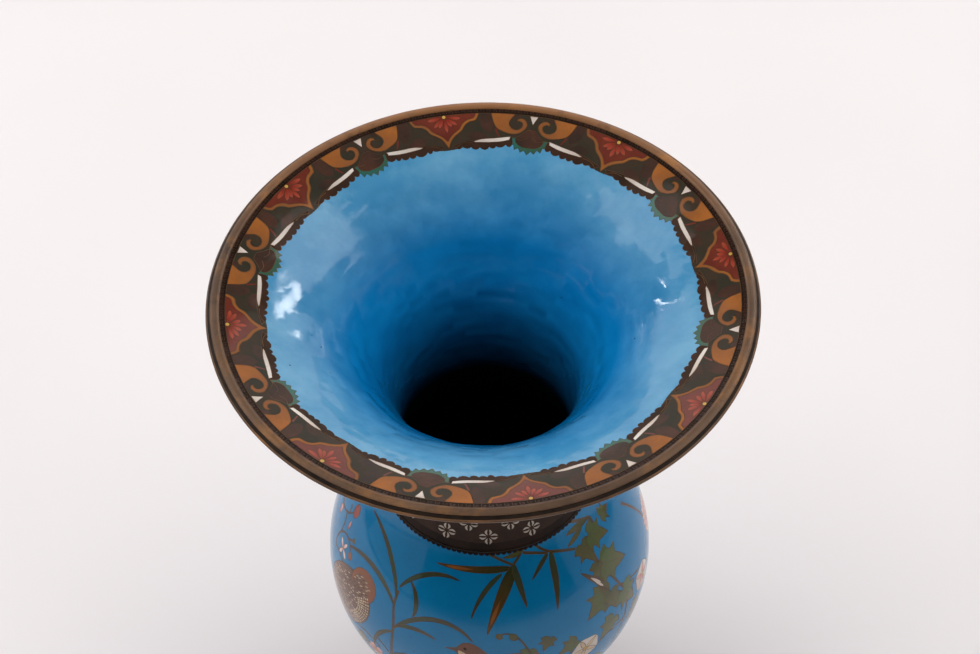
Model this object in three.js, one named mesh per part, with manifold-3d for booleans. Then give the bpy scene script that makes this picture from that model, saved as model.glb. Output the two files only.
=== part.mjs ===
// Cloisonne vase with a globular body, a trumpet mouth and a spreading foot.
// Millimetres, +Z up, origin at the centre of the foot's resting face.
//
// The wall is a sandwich that follows one outer profile: enamel outside, a spun
// copper core, and counter-enamel inside. Wire rings part the enamel bands, and
// bronze collars close the wall at the mouth and at the foot.

import * as THREE from "three";
import { mergeVertices } from "three/addons/utils/BufferGeometryUtils.js";
import Module from "manifold-3d";

const wasm = await Module();
wasm.setup();

// ---- driving dimensions -------------------------------------------------

const totalHeight = 290;
const mouthRadius = 95;
const bodyRadius = 66.6;
const bodyCentre = 129.4;
const neckRadius = 36;
const neckHeight = 214;
const waistRadius = 35.5;
const waistHeight = 38;
const footRadius = 50;
const collarHeight = 7;

const enamelDepth = 1;
const copperDepth = 1.4;
const gap = 0.3;
const wireWidth = 0.6;
const floorThickness = 1.6;

const lappetCount = 8;
const firstLappet = THREE.MathUtils.degToRad(8.4);
const facets = 32;

// depths below the outer surface of each layer's two faces
const outerEnamel = [0, enamelDepth];
const core = [enamelDepth + gap, enamelDepth + gap + copperDepth];
const innerEnamel = [core[1] + gap, core[1] + gap + enamelDepth];
const wallDepth = innerEnamel[1];

// ---- the outer profile --------------------------------------------------

const lipRadius = mouthRadius - 3.8;
const lipHeight = totalHeight - 4.6;
const sphereStart = THREE.MathUtils.degToRad(-31);
const sphereEnd = THREE.MathUtils.degToRad(41);

function onSphere(angle) {
  const r = bodyRadius * Math.cos(angle);
  return new THREE.Vector2(r, bodyCentre + bodyRadius * Math.sin(angle));
}

// a point further along the sphere's tangent, as a handle for the next curve
function besideSphere(angle, reach) {
  const p = onSphere(angle);
  return new THREE.Vector2(p.x - reach * Math.sin(angle), p.y + reach * Math.cos(angle));
}

function outerProfile() {
  const path = new THREE.Path();
  const lower = onSphere(sphereStart);
  const lowerHandle = besideSphere(sphereStart, -20);
  const upperHandle = besideSphere(sphereEnd, 14);
  path.moveTo(footRadius, collarHeight + gap);
  path.bezierCurveTo(footRadius, 19, waistRadius, 22, waistRadius, waistHeight);
  path.bezierCurveTo(waistRadius, 54, lowerHandle.x, lowerHandle.y, lower.x, lower.y);
  path.absarc(0, bodyCentre, bodyRadius, sphereStart, sphereEnd, false);
  path.bezierCurveTo(upperHandle.x, upperHandle.y, neckRadius, 192, neckRadius, neckHeight);
  path.bezierCurveTo(neckRadius, 254, lipRadius - 31, lipHeight - 9.1, lipRadius, lipHeight);
  return path;
}

const profile = outerProfile();
const profileLength = profile.getLength();

// the point at a share of the profile's length, sunk below the outer surface
function wallPoint(share, depth) {
  const p = profile.getPointAt(share);
  const t = profile.getTangentAt(share);
  return new THREE.Vector2(p.x - depth * t.y, p.y + depth * t.x);
}

// the share of the profile where a rising measure of the wall reaches a value
function findShare(measure, value, low = 0, high = 1) {
  for (let step = 0; step < 40; step += 1) {
    const middle = (low + high) / 2;
    if (measure(middle) < value) {
      low = middle;
    } else {
      high = middle;
    }
  }
  return low;
}

const shareAtHeight = (height) => findShare((s) => profile.getPointAt(s).y, height);

function shareAtInnerRadius(radius) {
  const neckShare = shareAtHeight(neckHeight);
  return findShare((s) => wallPoint(s, wallDepth).x, radius, neckShare);
}

// ---- bands of the wall --------------------------------------------------

// Every layer takes its points from the same stations, so that the faceted
// layers stay parallel. Each entry is where a band ends and its steps.
const bandEnds = {
  foot: [0, 0],
  waist: [shareAtHeight(waistHeight), 3],
  lowerBorder: [shareAtHeight(64), 2],
  shoulder: [shareAtHeight(185.5), 7],
  neck: [shareAtHeight(246), 4],
  flare: [shareAtInnerRadius(75), 3],
  rimBorder: [shareAtInnerRadius(88.2), 1],
  lip: [1, 1],
};
const bandNames = Object.keys(bandEnds);

function stationsBetween(first, last) {
  const stations = [];
  const from = bandNames.indexOf(first);
  const to = bandNames.indexOf(last);
  for (let band = from + 1; band <= to; band += 1) {
    const start = bandEnds[bandNames[band - 1]][0];
    const [end, steps] = bandEnds[bandNames[band]];
    for (let step = 0; step < steps; step += 1) {
      stations.push(THREE.MathUtils.lerp(start, end, step / steps));
    }
  }
  stations.push(bandEnds[last][0]);
  return stations;
}

// the closed section of one layer between two band ends, drawn back at each end
function layerSection(first, last, [outer, inner], startTrim, endTrim) {
  const stations = stationsBetween(first, last);
  stations[0] += startTrim / profileLength;
  stations[stations.length - 1] -= endTrim / profileLength;
  const outside = stations.map((s) => wallPoint(s, outer));
  const inside = stations.map((s) => wallPoint(s, inner)).reverse();
  return [...outside, ...inside];
}

// the section of a cup: a layer of wall that turns in to a flat floor
function cupSection(last, layer, floorBottom, floorTop) {
  const wall = layerSection("waist", last, layer, 0, gap / 2);
  const half = wall.length / 2;
  const outside = wall.slice(0, half);
  const inside = wall.slice(half);
  outside[0] = new THREE.Vector2(outside[0].x, floorBottom);
  inside[half - 1] = new THREE.Vector2(inside[half - 1].x, floorTop);
  const axisBottom = new THREE.Vector2(0, floorBottom);
  const axisTop = new THREE.Vector2(0, floorTop);
  return [axisBottom, ...outside, ...inside, axisTop];
}

// ---- turning sections into meshes ---------------------------------------

function turned(section) {
  const onAxis = section[0].x === 0;
  const points = onAxis ? section : [...section, section[0]];
  const geometry = new THREE.LatheGeometry(points, facets);
  geometry.rotateX(Math.PI / 2);
  return geometry;
}

function ringSection(pairs) {
  return pairs.map(([r, z]) => new THREE.Vector2(r, z));
}

const vase = new THREE.Group();

function addPiece(name, geometry, look) {
  const mesh = new THREE.Mesh(geometry, new THREE.MeshStandardMaterial(look));
  mesh.name = name;
  vase.add(mesh);
  return mesh;
}

const bronze = { color: 0x6e5541, roughness: 0.45, metalness: 0.9 };
const copper = { color: 0xb56a45, roughness: 0.4, metalness: 1 };
const brassWire = { color: 0xb08a4e, roughness: 0.35, metalness: 1 };
const turquoise = { color: 0x3278aa, roughness: 0.15, metalness: 0 };
const paleBlue = { color: 0x649bbe, roughness: 0.15, metalness: 0 };
const darkEnamel = { color: 0x483f3a, roughness: 0.2, metalness: 0 };
const blackEnamel = { color: 0x231c1a, roughness: 0.2, metalness: 0 };
const redEnamel = { color: 0x8a3a30, roughness: 0.2, metalness: 0 };
const ochreEnamel = { color: 0xa56e41, roughness: 0.2, metalness: 0 };
const leafEnamel = { color: 0x3c695a, roughness: 0.2, metalness: 0 };

// ---- foot ---------------------------------------------------------------

function addFoot() {
  const inner = footRadius - 4;
  const outer = footRadius + 1.6;
  const collar = ringSection([
    [inner, 0], [outer - 0.8, 0], [outer, 1], [outer, collarHeight - 2],
    [outer - 1.4, collarHeight], [inner, collarHeight],
  ]);
  addPiece("foot_ring_collar", turned(collar), bronze);
  addPiece("foot_core", turned(layerSection("foot", "waist", core, 0, gap)), copper);
  const skin = layerSection("foot", "waist", outerEnamel, 0, wireWidth / 2 + gap);
  addPiece("foot_enamel", turned(skin), blackEnamel);
  const lining = layerSection("foot", "waist", innerEnamel, 0, 4);
  addPiece("foot_lining_enamel", turned(lining), paleBlue);
}

// ---- body ---------------------------------------------------------------

const floorBottom = waistHeight + gap;
const floorTop = floorBottom + floorThickness;

function addBody() {
  addPiece("body_core", turned(cupSection("shoulder", core, floorBottom, floorTop)), copper);
  const liningBottom = floorTop + gap;
  const lining = cupSection("shoulder", innerEnamel, liningBottom, liningBottom + enamelDepth);
  addPiece("body_lining_enamel", turned(lining), paleBlue);
  const baseRadius = wallPoint(bandEnds.waist[0], core[1]).x - 2;
  const baseTop = floorBottom - gap;
  const base = ringSection([
    [0, baseTop - enamelDepth], [baseRadius, baseTop - enamelDepth],
    [baseRadius, baseTop], [0, baseTop],
  ]);
  addPiece("base_counter_enamel", turned(base), paleBlue);
  const trim = wireWidth / 2 + gap;
  const border = layerSection("waist", "lowerBorder", outerEnamel, trim, trim);
  addPiece("lower_border_enamel", turned(border), darkEnamel);
  const ground = layerSection("lowerBorder", "shoulder", outerEnamel, trim, trim);
  addPiece("body_ground_enamel", turned(ground), turquoise);
}

// ---- neck and mouth -----------------------------------------------------

const lipBorderSection = layerSection("flare", "rimBorder", innerEnamel, gap / 2, gap / 2);

function addNeckAndMouth() {
  const trim = wireWidth / 2 + gap;
  const trumpet = layerSection("shoulder", "lip", core, gap / 2, 0);
  addPiece("trumpet_core", turned(trumpet), copper);
  const neck = layerSection("shoulder", "neck", outerEnamel, trim, trim);
  addPiece("neck_floret_enamel", turned(neck), blackEnamel);
  const flare = layerSection("neck", "rimBorder", outerEnamel, trim, trim);
  addPiece("flare_ground_enamel", turned(flare), turquoise);
  const underRim = layerSection("rimBorder", "lip", outerEnamel, trim, 0);
  addPiece("rim_under_enamel", turned(underRim), blackEnamel);
  const lining = layerSection("shoulder", "flare", innerEnamel, gap / 2, gap / 2);
  addPiece("mouth_lining_enamel", turned(lining), paleBlue);
  const fret = layerSection("rimBorder", "lip", innerEnamel, gap / 2, 0);
  addPiece("lip_fret_enamel", turned(fret), blackEnamel);
}

// the collar is a broad strip that falls outwards to a thin bead
function addRimCollar() {
  const edge = lipRadius + gap;
  const under = lipHeight - 0.6;
  const collar = ringSection([
    [edge, under], [mouthRadius - 1.8, totalHeight - 4.4], [mouthRadius, totalHeight - 2.4],
    [mouthRadius, totalHeight - 1.8], [mouthRadius - 1.6, totalHeight - 0.6],
    [mouthRadius - 2.4, totalHeight - 0.2], [lipRadius, totalHeight],
    [edge - 1.1, totalHeight - 0.7],
  ]);
  addPiece("mouth_rim_collar", turned(collar), bronze);
}

// ---- wire rings ---------------------------------------------------------

// a ribbon set on edge in the outer enamel where two bands meet
function addWireRing(name, band) {
  const share = bandEnds[band][0];
  const half = wireWidth / 2 / profileLength;
  const section = [
    wallPoint(share - half, 0), wallPoint(share + half, 0),
    wallPoint(share + half, enamelDepth), wallPoint(share - half, enamelDepth),
  ];
  addPiece(name, turned(section), brassWire);
}

function addWireRings() {
  addWireRing("waist_wire", "waist");
  addWireRing("lower_border_wire", "lowerBorder");
  addWireRing("shoulder_wire", "shoulder");
  addWireRing("neck_upper_wire", "neck");
  addWireRing("rim_under_wire", "rimBorder");
}

// ---- enamel cells of the lip border -------------------------------------

function toSolid(geometry) {
  const bare = geometry.clone();
  bare.deleteAttribute("normal");
  bare.deleteAttribute("uv");
  const merged = mergeVertices(bare, 1e-4);
  const mesh = new wasm.Mesh({
    numProp: 3,
    vertProperties: merged.attributes.position.array,
    triVerts: Uint32Array.from(merged.index.array),
  });
  return new wasm.Manifold(mesh);
}

function toGeometry(solid) {
  const mesh = solid.getMesh();
  const geometry = new THREE.BufferGeometry();
  geometry.setAttribute("position", new THREE.BufferAttribute(mesh.vertProperties, 3));
  geometry.setIndex(new THREE.BufferAttribute(mesh.triVerts, 1));
  geometry.computeVertexNormals();
  return geometry;
}

// Cell outlines are drawn with x along the lip and y as the radius.
// A margin widens the outline all round, to leave the seat its clearance.

// an ogee tongue that hangs from the outer edge and points to the throat
function lappetShape(margin) {
  const base = 92;
  const tip = 76.4 - 2 * margin;
  const half = 14.2 + margin;
  const shape = new THREE.Shape();
  shape.moveTo(-half, base);
  shape.quadraticCurveTo(-half + 2, 86, -7.6 - margin, 84.6 - margin);
  shape.quadraticCurveTo(-3 - margin, 81, 0, tip);
  shape.quadraticCurveTo(3 + margin, 81, 7.6 + margin, 84.6 - margin);
  shape.quadraticCurveTo(half - 2, 86, half, base);
  return shape;
}

// a comma that hangs from the outer edge and sweeps away from its lappet
function commaShape(margin, side) {
  const shape = new THREE.Shape();
  const at = (x, y) => [side * x, y];
  shape.moveTo(...at(18.6 - margin, 92));
  shape.quadraticCurveTo(...at(18.8 - margin, 82.4 - margin), ...at(24.6, 80.8 - margin));
  shape.quadraticCurveTo(...at(29.2 + margin, 80.8 - margin), ...at(29.4 + margin, 84.6));
  shape.quadraticCurveTo(...at(27 + margin, 86.4 + margin), ...at(24 + margin, 86.2 + margin));
  shape.lineTo(...at(24 + margin, 92));
  return shape;
}

const cellFloor = totalHeight - 16;
const cellCeiling = totalHeight + 4;

// an upright prism of the outline, turned to its place round the lip
function cellPrism(shape, angle) {
  const options = { depth: cellCeiling - cellFloor, bevelEnabled: false, curveSegments: 4 };
  const geometry = new THREE.ExtrudeGeometry(shape, options);
  geometry.translate(0, 0, cellFloor);
  geometry.rotateZ(angle);
  return toSolid(geometry);
}

function addLipCells() {
  const border = toSolid(turned(lipBorderSection));
  const pitch = (2 * Math.PI) / lappetCount;
  let seat = border;
  function addCell(name, outline, angle, look) {
    const cell = border.intersect(cellPrism(outline(0), angle));
    addPiece(name, toGeometry(cell), look);
    seat = seat.subtract(cellPrism(outline(gap), angle));
  }
  for (let index = 0; index < lappetCount; index += 1) {
    const angle = firstLappet + index * pitch;
    const number = index + 1;
    addCell(`lip_lappet_${number}`, lappetShape, angle, redEnamel);
    addCell(`lip_scroll_left_${number}`, (m) => commaShape(m, -1), angle, ochreEnamel);
    addCell(`lip_scroll_right_${number}`, (m) => commaShape(m, 1), angle, ochreEnamel);
  }
  addPiece("lip_border_enamel", toGeometry(seat), darkEnamel);
}

addFoot();
addBody();
addNeckAndMouth();
addRimCollar();
addWireRings();
addLipCells();

export default vase;
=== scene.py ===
import math
import random
from functools import cache

import bpy
import numpy as np
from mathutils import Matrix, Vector, noise
from mathutils.geometry import delaunay_2d_cdt


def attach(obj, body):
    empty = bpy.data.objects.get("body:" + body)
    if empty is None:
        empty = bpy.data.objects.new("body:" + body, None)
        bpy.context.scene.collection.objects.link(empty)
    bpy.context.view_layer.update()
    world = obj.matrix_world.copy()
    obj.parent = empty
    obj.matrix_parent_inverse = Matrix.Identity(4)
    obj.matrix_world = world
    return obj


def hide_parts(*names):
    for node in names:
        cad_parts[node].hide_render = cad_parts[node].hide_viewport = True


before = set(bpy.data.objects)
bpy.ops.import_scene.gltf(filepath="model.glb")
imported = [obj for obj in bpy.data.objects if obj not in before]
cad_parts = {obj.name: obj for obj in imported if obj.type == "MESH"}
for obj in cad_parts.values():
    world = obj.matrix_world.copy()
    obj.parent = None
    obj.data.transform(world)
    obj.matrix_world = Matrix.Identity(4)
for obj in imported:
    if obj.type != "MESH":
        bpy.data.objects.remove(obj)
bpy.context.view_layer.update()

# A cloisonne vase: every visible surface is a patch of enamel or wire, drawn flat
# in millimetres and laid on a face of the turned wall. The wall's line follows the
# CAD frame; the CAD's copper shells stay inside it.

MM = 0.001
draw = random.Random(18)

WIRE = 0.42          # width of a cell wire
CELL_STEP = 1.5      # longest edge of a drawn outline
TURNED_STEPS = 384   # facets of a plain turned surface


# ---- what the frame gives, in millimetres --------------------------------

def span(node):
    """Least and greatest radius, and least and greatest height, of a CAD node."""
    points = np.array([v.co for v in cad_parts[node].data.vertices]) / MM
    radius = np.hypot(points[:, 0], points[:, 1])
    return radius.min(), radius.max(), points[:, 2].min(), points[:, 2].max()


MOUTH_RADIUS = span("mouth_rim_collar")[1]
TOTAL_HEIGHT = span("mouth_rim_collar")[3]
FOOT_RADIUS = span("foot_enamel")[1]
FOOT_START = span("foot_core")[2]
WAIST_RADIUS = span("waist_wire")[1]
WAIST_HEIGHT = sum(span("waist_wire")[2:]) / 2
NECK_RADIUS = span("neck_floret_enamel")[0] + 1
BODY_RADIUS = 66.6
BODY_CENTRE = 129.4
NECK_HEIGHT = 214
LIP_RADIUS = span("rim_under_enamel")[1]
LIP_DROP = 4.6          # from the collar's top down to the wall's outer edge
LIP_HEIGHT = TOTAL_HEIGHT - LIP_DROP
WALL_DEPTH = 4
SPHERE_START = math.radians(-31)
SPHERE_END = math.radians(41)

# How the stretches between foot, body, neck and lip bend: heights of their handles,
# and how far a handle reaches along the body's circle or back from the lip.
FOOT_HANDLES = (19, 22)
WAIST_HANDLE = 54
BODY_REACHES = (-20, 14)
NECK_HANDLES = (192, 254)
LIP_REACH = (31, 9.1)


def bezier(a, b, c, d, steps=240):
    t = np.linspace(0, 1, steps, endpoint=False)[:, None]
    a, b, c, d = (np.array(p, float) for p in (a, b, c, d))
    return (1 - t) ** 3 * a + 3 * (1 - t) ** 2 * t * b + 3 * (1 - t) * t ** 2 * c + t ** 3 * d


def on_sphere(angle, reach=0.0):
    """A point of the body's circle, or one further along its tangent."""
    radial = np.array([math.cos(angle), math.sin(angle)])
    tangent = np.array([-math.sin(angle), math.cos(angle)])
    return np.array([0, BODY_CENTRE]) + BODY_RADIUS * radial + reach * tangent


def outer_line():
    """The wall's outer line as (radius, height), from the foot to the lip."""
    waist = (WAIST_RADIUS, WAIST_HEIGHT)
    neck = (NECK_RADIUS, NECK_HEIGHT)
    lip = (LIP_RADIUS, LIP_HEIGHT)
    angles = np.linspace(SPHERE_START, SPHERE_END, 240, endpoint=False)
    return np.concatenate([
        bezier((FOOT_RADIUS, FOOT_START), (FOOT_RADIUS, FOOT_HANDLES[0]),
               (WAIST_RADIUS, FOOT_HANDLES[1]), waist),
        bezier(waist, (WAIST_RADIUS, WAIST_HANDLE), on_sphere(SPHERE_START, BODY_REACHES[0]),
               on_sphere(SPHERE_START)),
        np.array([on_sphere(a) for a in angles]),
        bezier(on_sphere(SPHERE_END), on_sphere(SPHERE_END, BODY_REACHES[1]),
               (NECK_RADIUS, NECK_HANDLES[0]), neck),
        bezier(neck, (NECK_RADIUS, NECK_HANDLES[1]),
               (LIP_RADIUS - LIP_REACH[0], LIP_HEIGHT - LIP_REACH[1]), lip),
        [lip],
    ])


class Face:
    """One face of the wall, by turn angle and by distance along the wall."""

    def __init__(self, depth, outward, ripple=None):
        line = outer_line()
        tangent = np.gradient(line, axis=0)
        tangent /= np.linalg.norm(tangent, axis=1)[:, None]
        normal = np.stack([tangent[:, 1], -tangent[:, 0]], 1)
        self.line = line - depth * normal
        self.normal = normal * outward
        self.outward = outward
        self.ripple = ripple
        steps = np.linalg.norm(np.diff(self.line, axis=0), axis=1)
        self.along = np.concatenate([[0], np.cumsum(steps)])

    def at_height(self, height):
        return float(np.interp(height, self.line[:, 1], self.along))

    def at_radius(self, radius):
        """Distance along the wall where the trumpet opens to a radius."""
        start = np.searchsorted(self.line[:, 1], NECK_HEIGHT)
        return float(np.interp(radius, self.line[start:, 0], self.along[start:]))

    def radius(self, along):
        return np.interp(along, self.along, self.line[:, 0])

    def height(self, along):
        return np.interp(along, self.along, self.line[:, 1])

    def place(self, turn, along, lift=0.0):
        """Points in metres; turn 0 faces the camera and grows towards +X."""
        if self.ripple:
            lift = lift + self.ripple(turn, self.radius(along), self.height(along))
        radial = self.radius(along) + lift * np.interp(along, self.along, self.normal[:, 0])
        height = self.height(along) + lift * np.interp(along, self.along, self.normal[:, 1])
        return np.stack([radial * np.sin(turn), -radial * np.cos(turn), height], 1) * MM

    def normals(self, turn, along):
        """Unit normals of the rippled face, from neighbouring points."""
        reach = 0.25
        here = self.place(turn, along)
        across = self.place(turn + reach / np.maximum(self.radius(along), 1), along) - here
        up = self.place(turn, along + reach) - self.place(turn, along - reach)
        normal = np.cross(across, up) * self.outward
        return normal / np.maximum(np.linalg.norm(normal, axis=1), 1e-12)[:, None]


DENT_PITCH = 13.0
SWELL_PITCH = 30.0
SMOOTH_EDGE = 6         # how far in from the mouth the lining is at its flattest
SMOOTH_RUN = 24         # and over how much further it reaches its full depth


def hammered(turn, radius, height):
    """The counter-enamel's uneven depth, dented all over and flatter towards the lip."""
    turn, radius, height = np.broadcast_arrays(turn, radius, height)
    fade = np.clip((MOUTH_RADIUS - SMOOTH_EDGE - radius) / SMOOTH_RUN, 0.15, 1)
    wave = []
    for a, r, h in zip(turn, radius, height):
        spot = Vector((r * math.sin(a), -r * math.cos(a), 2.2 * h))
        dents = abs(noise.noise(spot / DENT_PITCH))
        broad = noise.noise(spot / SWELL_PITCH + Vector((7, 3, 1)))
        wave.append(0.5 * dents + 0.45 * broad)
    return np.array(wave) * fade


OUTER = Face(0, 1)
INNER = Face(WALL_DEPTH, -1, hammered)


def stretch(node):
    """Where a CAD node starts and ends along the outer face."""
    points = np.array([v.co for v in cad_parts[node].data.vertices]) / MM
    section = np.stack([np.hypot(points[:, 0], points[:, 1]), points[:, 2]], 1)
    gaps = np.linalg.norm(section[:, None] - OUTER.line[None], axis=2)
    along = OUTER.along[gaps.argmin(1)]
    return float(along.min()), float(along.max())


# ---- flat outlines, in millimetres ---------------------------------------

def curve(points, closed=False, steps=6):
    """A smooth line through a few points (Catmull-Rom)."""
    p = [np.array(q, float) for q in points]
    if closed:
        p = [p[-1]] + p + [p[0], p[1]]
    else:
        p = [2 * p[0] - p[1]] + p + [2 * p[-1] - p[-2]]
    line = []
    for a, b, c, d in zip(p, p[1:], p[2:], p[3:]):
        for t in np.arange(steps) / steps:
            line.append(0.5 * (2 * b + (c - a) * t + (2 * a - 5 * b + 4 * c - d) * t ** 2
                               + (3 * b - a - 3 * c + d) * t ** 3))
    if not closed:
        line.append(p[-2])
    return np.array(line)


def joined(*lines):
    return np.concatenate([np.atleast_2d(np.array(line, float)) for line in lines])


def shifted(points, shift):
    """The points moved sideways."""
    return [(x + shift, y) for x, y in points]


def mirrored(line):
    """The other half of a symmetric outline, in reverse order."""
    return (np.array(line, float) * [-1, 1])[::-1]


def circle(x, y, radius, steps=12):
    a = np.linspace(0, 2 * math.pi, steps, endpoint=False)
    return np.stack([x + radius * np.cos(a), y + radius * np.sin(a)], 1)


def oval(x, y, long_half, short_half, tilt=0.0, steps=32):
    """An ellipse whose long axis is raised by tilt degrees."""
    a = np.linspace(0, 2 * math.pi, steps, endpoint=False)
    u, v = long_half * np.cos(a), short_half * np.sin(a)
    c, s = math.cos(math.radians(tilt)), math.sin(math.radians(tilt))
    return np.stack([x + u * c - v * s, y + u * s + v * c], 1)


def in_oval(u, v, x, y, long_half, short_half, tilt=0.0):
    """Whether the point (u, v) lies inside that ellipse."""
    c, s = math.cos(math.radians(tilt)), math.sin(math.radians(tilt))
    along = (u - x) * c + (v - y) * s
    across = (v - y) * c - (u - x) * s
    return (along / long_half) ** 2 + (across / short_half) ** 2 < 1


def sweep(x, y, heading, length, bend=0.0, curl=1.0, steps=8):
    """A line that leaves (x, y) on a compass heading and turns by bend degrees in all.

    Above 1, curl keeps the turning for the tip; below 1 it comes near the start.
    """
    middles = (np.arange(steps) + 0.5) / steps
    a = np.radians(heading + bend * middles ** curl)
    moves = np.stack([np.sin(a), -np.cos(a)], 1) * length / steps
    return np.vstack([(x, y), np.array([x, y]) + np.cumsum(moves, 0)])


def anticlockwise(outline):
    outline = np.array(outline, float)
    x, y = outline[:, 0], outline[:, 1]
    area = np.dot(x, np.roll(y, -1)) - np.dot(y, np.roll(x, -1))
    return outline if area > 0 else outline[::-1]


def grown(outline, margin):
    """The outline moved outwards by a margin, or inwards by a negative one."""
    outline = anticlockwise(outline)
    edge = np.roll(outline, -1, 0) - outline
    edge /= np.maximum(np.linalg.norm(edge, axis=1), 1e-9)[:, None]
    out = np.stack([edge[:, 1], -edge[:, 0]], 1)
    bisector = out + np.roll(out, 1, 0)
    length = np.maximum(np.linalg.norm(bisector, axis=1), 1e-9)
    bisector /= length[:, None]
    mitre = 1 / np.maximum(length / 2, 0.35)
    return outline + bisector * (margin * mitre)[:, None]


def ribbon(line, width, end_width=None):
    """The outline of a stroke along a line, which may taper to its end."""
    line = np.array(line, float)
    end_width = width if end_width is None else end_width
    half = np.linspace(width, end_width, len(line))[:, None] / 2
    tangent = np.gradient(line, axis=0)
    tangent /= np.maximum(np.linalg.norm(tangent, axis=1), 1e-9)[:, None]
    side = np.stack([-tangent[:, 1], tangent[:, 0]], 1)
    return np.concatenate([line + side * half, (line - side * half)[::-1]])


def blade(line, width, fullest=0.45):
    """The outline of a leaf whose spine is the line, pointed at both ends."""
    line = np.array(line, float)
    t = np.linspace(0, 1, len(line))
    power = math.log(0.5) / math.log(fullest)
    half = (width / 2 * np.sin(math.pi * t ** power) ** 0.8)[:, None]
    tangent = np.gradient(line, axis=0)
    tangent /= np.maximum(np.linalg.norm(tangent, axis=1), 1e-9)[:, None]
    side = np.stack([-tangent[:, 1], tangent[:, 0]], 1)
    return np.concatenate([line + side * half, (line - side * half)[-2:0:-1]])


def split_long(outline, step=CELL_STEP):
    """The outline with its long edges divided, so that it can bend with the wall."""
    points = []
    for a, b in zip(outline, np.roll(outline, -1, 0)):
        count = max(1, math.ceil(float(np.linalg.norm(b - a)) / step))
        points.extend(a + (b - a) * (k / count) for k in range(count))
    return np.array(points)


# ---- enamel laid on a face -----------------------------------------------

class Spot:
    """Where a motif is drawn: a place on the band, a turn of the paper and a size."""

    def __init__(self, turn, along, angle=0.0, size=1.0, flip=False):
        self.turn = turn
        self.along = along
        self.angle = angle
        self.size = size
        self.flip = flip

    def flat(self, band, points):
        """Motif points as band coordinates."""
        points = np.array(points, float) * self.size
        if self.flip:
            points = points * [-1, 1]
        c, s = math.cos(self.angle), math.sin(self.angle)
        x = points[:, 0] * c - points[:, 1] * s
        y = points[:, 0] * s + points[:, 1] * c
        along = self.along + y
        return np.stack([band.scale * (self.turn + x / band.face.radius(along)), along], 1)


class Band:
    """Cells drawn one over another on a stretch of a face, as a painter would."""

    def __init__(self, name, face, low, high, ground, grain=2.2):
        self.name = name
        self.face = face
        self.low = low
        self.high = high
        self.grain = grain
        self.scale = float(face.radius((low + high) / 2))
        half = math.pi * self.scale
        edge = [(-half, low), (half, low), (half, high), (-half, high)]
        self.outlines = [split_long(np.array(edge), grain)]
        self.paints = [ground]
        self.axes = [((0, low), (0, high))]

    def add(self, outline, paint, axis=None):
        """Lays a band-coordinate outline, and its copy where it crosses the seam."""
        outline = anticlockwise(split_long(outline))
        if axis is None:
            axis = (outline.min(0), outline.max(0))
        full = 2 * math.pi * self.scale
        half = full / 2
        shifts = [0]
        if outline[:, 0].max() > half:
            shifts.append(-full)
        if outline[:, 0].min() < -half:
            shifts.append(full)
        for shift in shifts:
            self.outlines.append(outline + [shift, 0])
            self.paints.append(paint)
            self.axes.append((np.array(axis[0]) + [shift, 0], np.array(axis[1]) + [shift, 0]))

    def cell(self, spot, outline, paint, wire=WIRE, axis=None):
        """A cell of enamel with a wire round it. The axis is where its shade runs."""
        if wire:
            self.add(spot.flat(self, grown(outline, wire / spot.size)), "wire")
        ends = None if axis is None else spot.flat(self, axis)
        self.add(spot.flat(self, outline), paint, ends)

    def stroke(self, spot, line, width=WIRE, end_width=None, paint="wire"):
        self.add(spot.flat(self, ribbon(line, width, end_width)), paint)

    def inner_points(self):
        """A staggered grid that lets the flat cells follow the wall's curve."""
        points = []
        rows = int((self.high - self.low) / (self.grain * 0.87))
        columns = int(2 * math.pi * self.scale / self.grain)
        for row in range(1, rows):
            along = self.low + (self.high - self.low) * row / rows
            for column in range(columns):
                x = (column + 0.5 * (row % 2) + 0.25) / columns * 2 - 1
                points.append((x * math.pi * self.scale, along))
        return np.array(points).reshape(-1, 2)

    def lay(self):
        """Cuts the whole band into triangles and returns one object for each paint."""
        points = np.concatenate(self.outlines + [self.inner_points()])
        loops = []
        start = 0
        for outline in self.outlines:
            loops.append(list(range(start, start + len(outline))))
            start += len(outline)
        flat, _, faces, _, _, owners = delaunay_2d_cdt(
            [Vector(p) for p in points], [], loops, 0, 1e-5, True)
        flat = np.array([tuple(p) for p in flat])
        kept = [(face, max(own)) for face, own in zip(faces, owners) if own and min(own) == 0]
        triangles = np.array([face for face, _ in kept])
        top = np.array([own for _, own in kept])
        turn = flat[:, 0] / self.scale
        places = self.face.place(turn, flat[:, 1])
        normals = self.face.normals(turn, flat[:, 1])
        start, end = (np.array([axis[k] for axis in self.axes], float) for k in (0, 1))
        run = end - start
        corner = flat[triangles] - start[top][:, None]
        tone = np.einsum("fkc,fc->fk", corner, run[top])
        tone /= np.maximum((run[top] ** 2).sum(1), 1e-9)[:, None]
        if self.face.outward < 0:
            triangles = triangles[:, ::-1]
            tone = tone[:, ::-1]
        paints = np.array(self.paints)[top]
        pieces = {}
        for slot in sorted({PAINTS[paint][0] for paint in self.paints}):
            paint_list = [p for p in sorted(set(self.paints)) if PAINTS[p][0] == slot]
            chosen = np.isin(paints, paint_list)
            if chosen.any():
                choice = [paint_list.index(p) for p in paints[chosen]]
                pieces[slot] = patch(f"{self.name}_{slot}", places, normals, triangles[chosen],
                                     paint_list, choice, tone[chosen])
        return pieces


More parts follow.
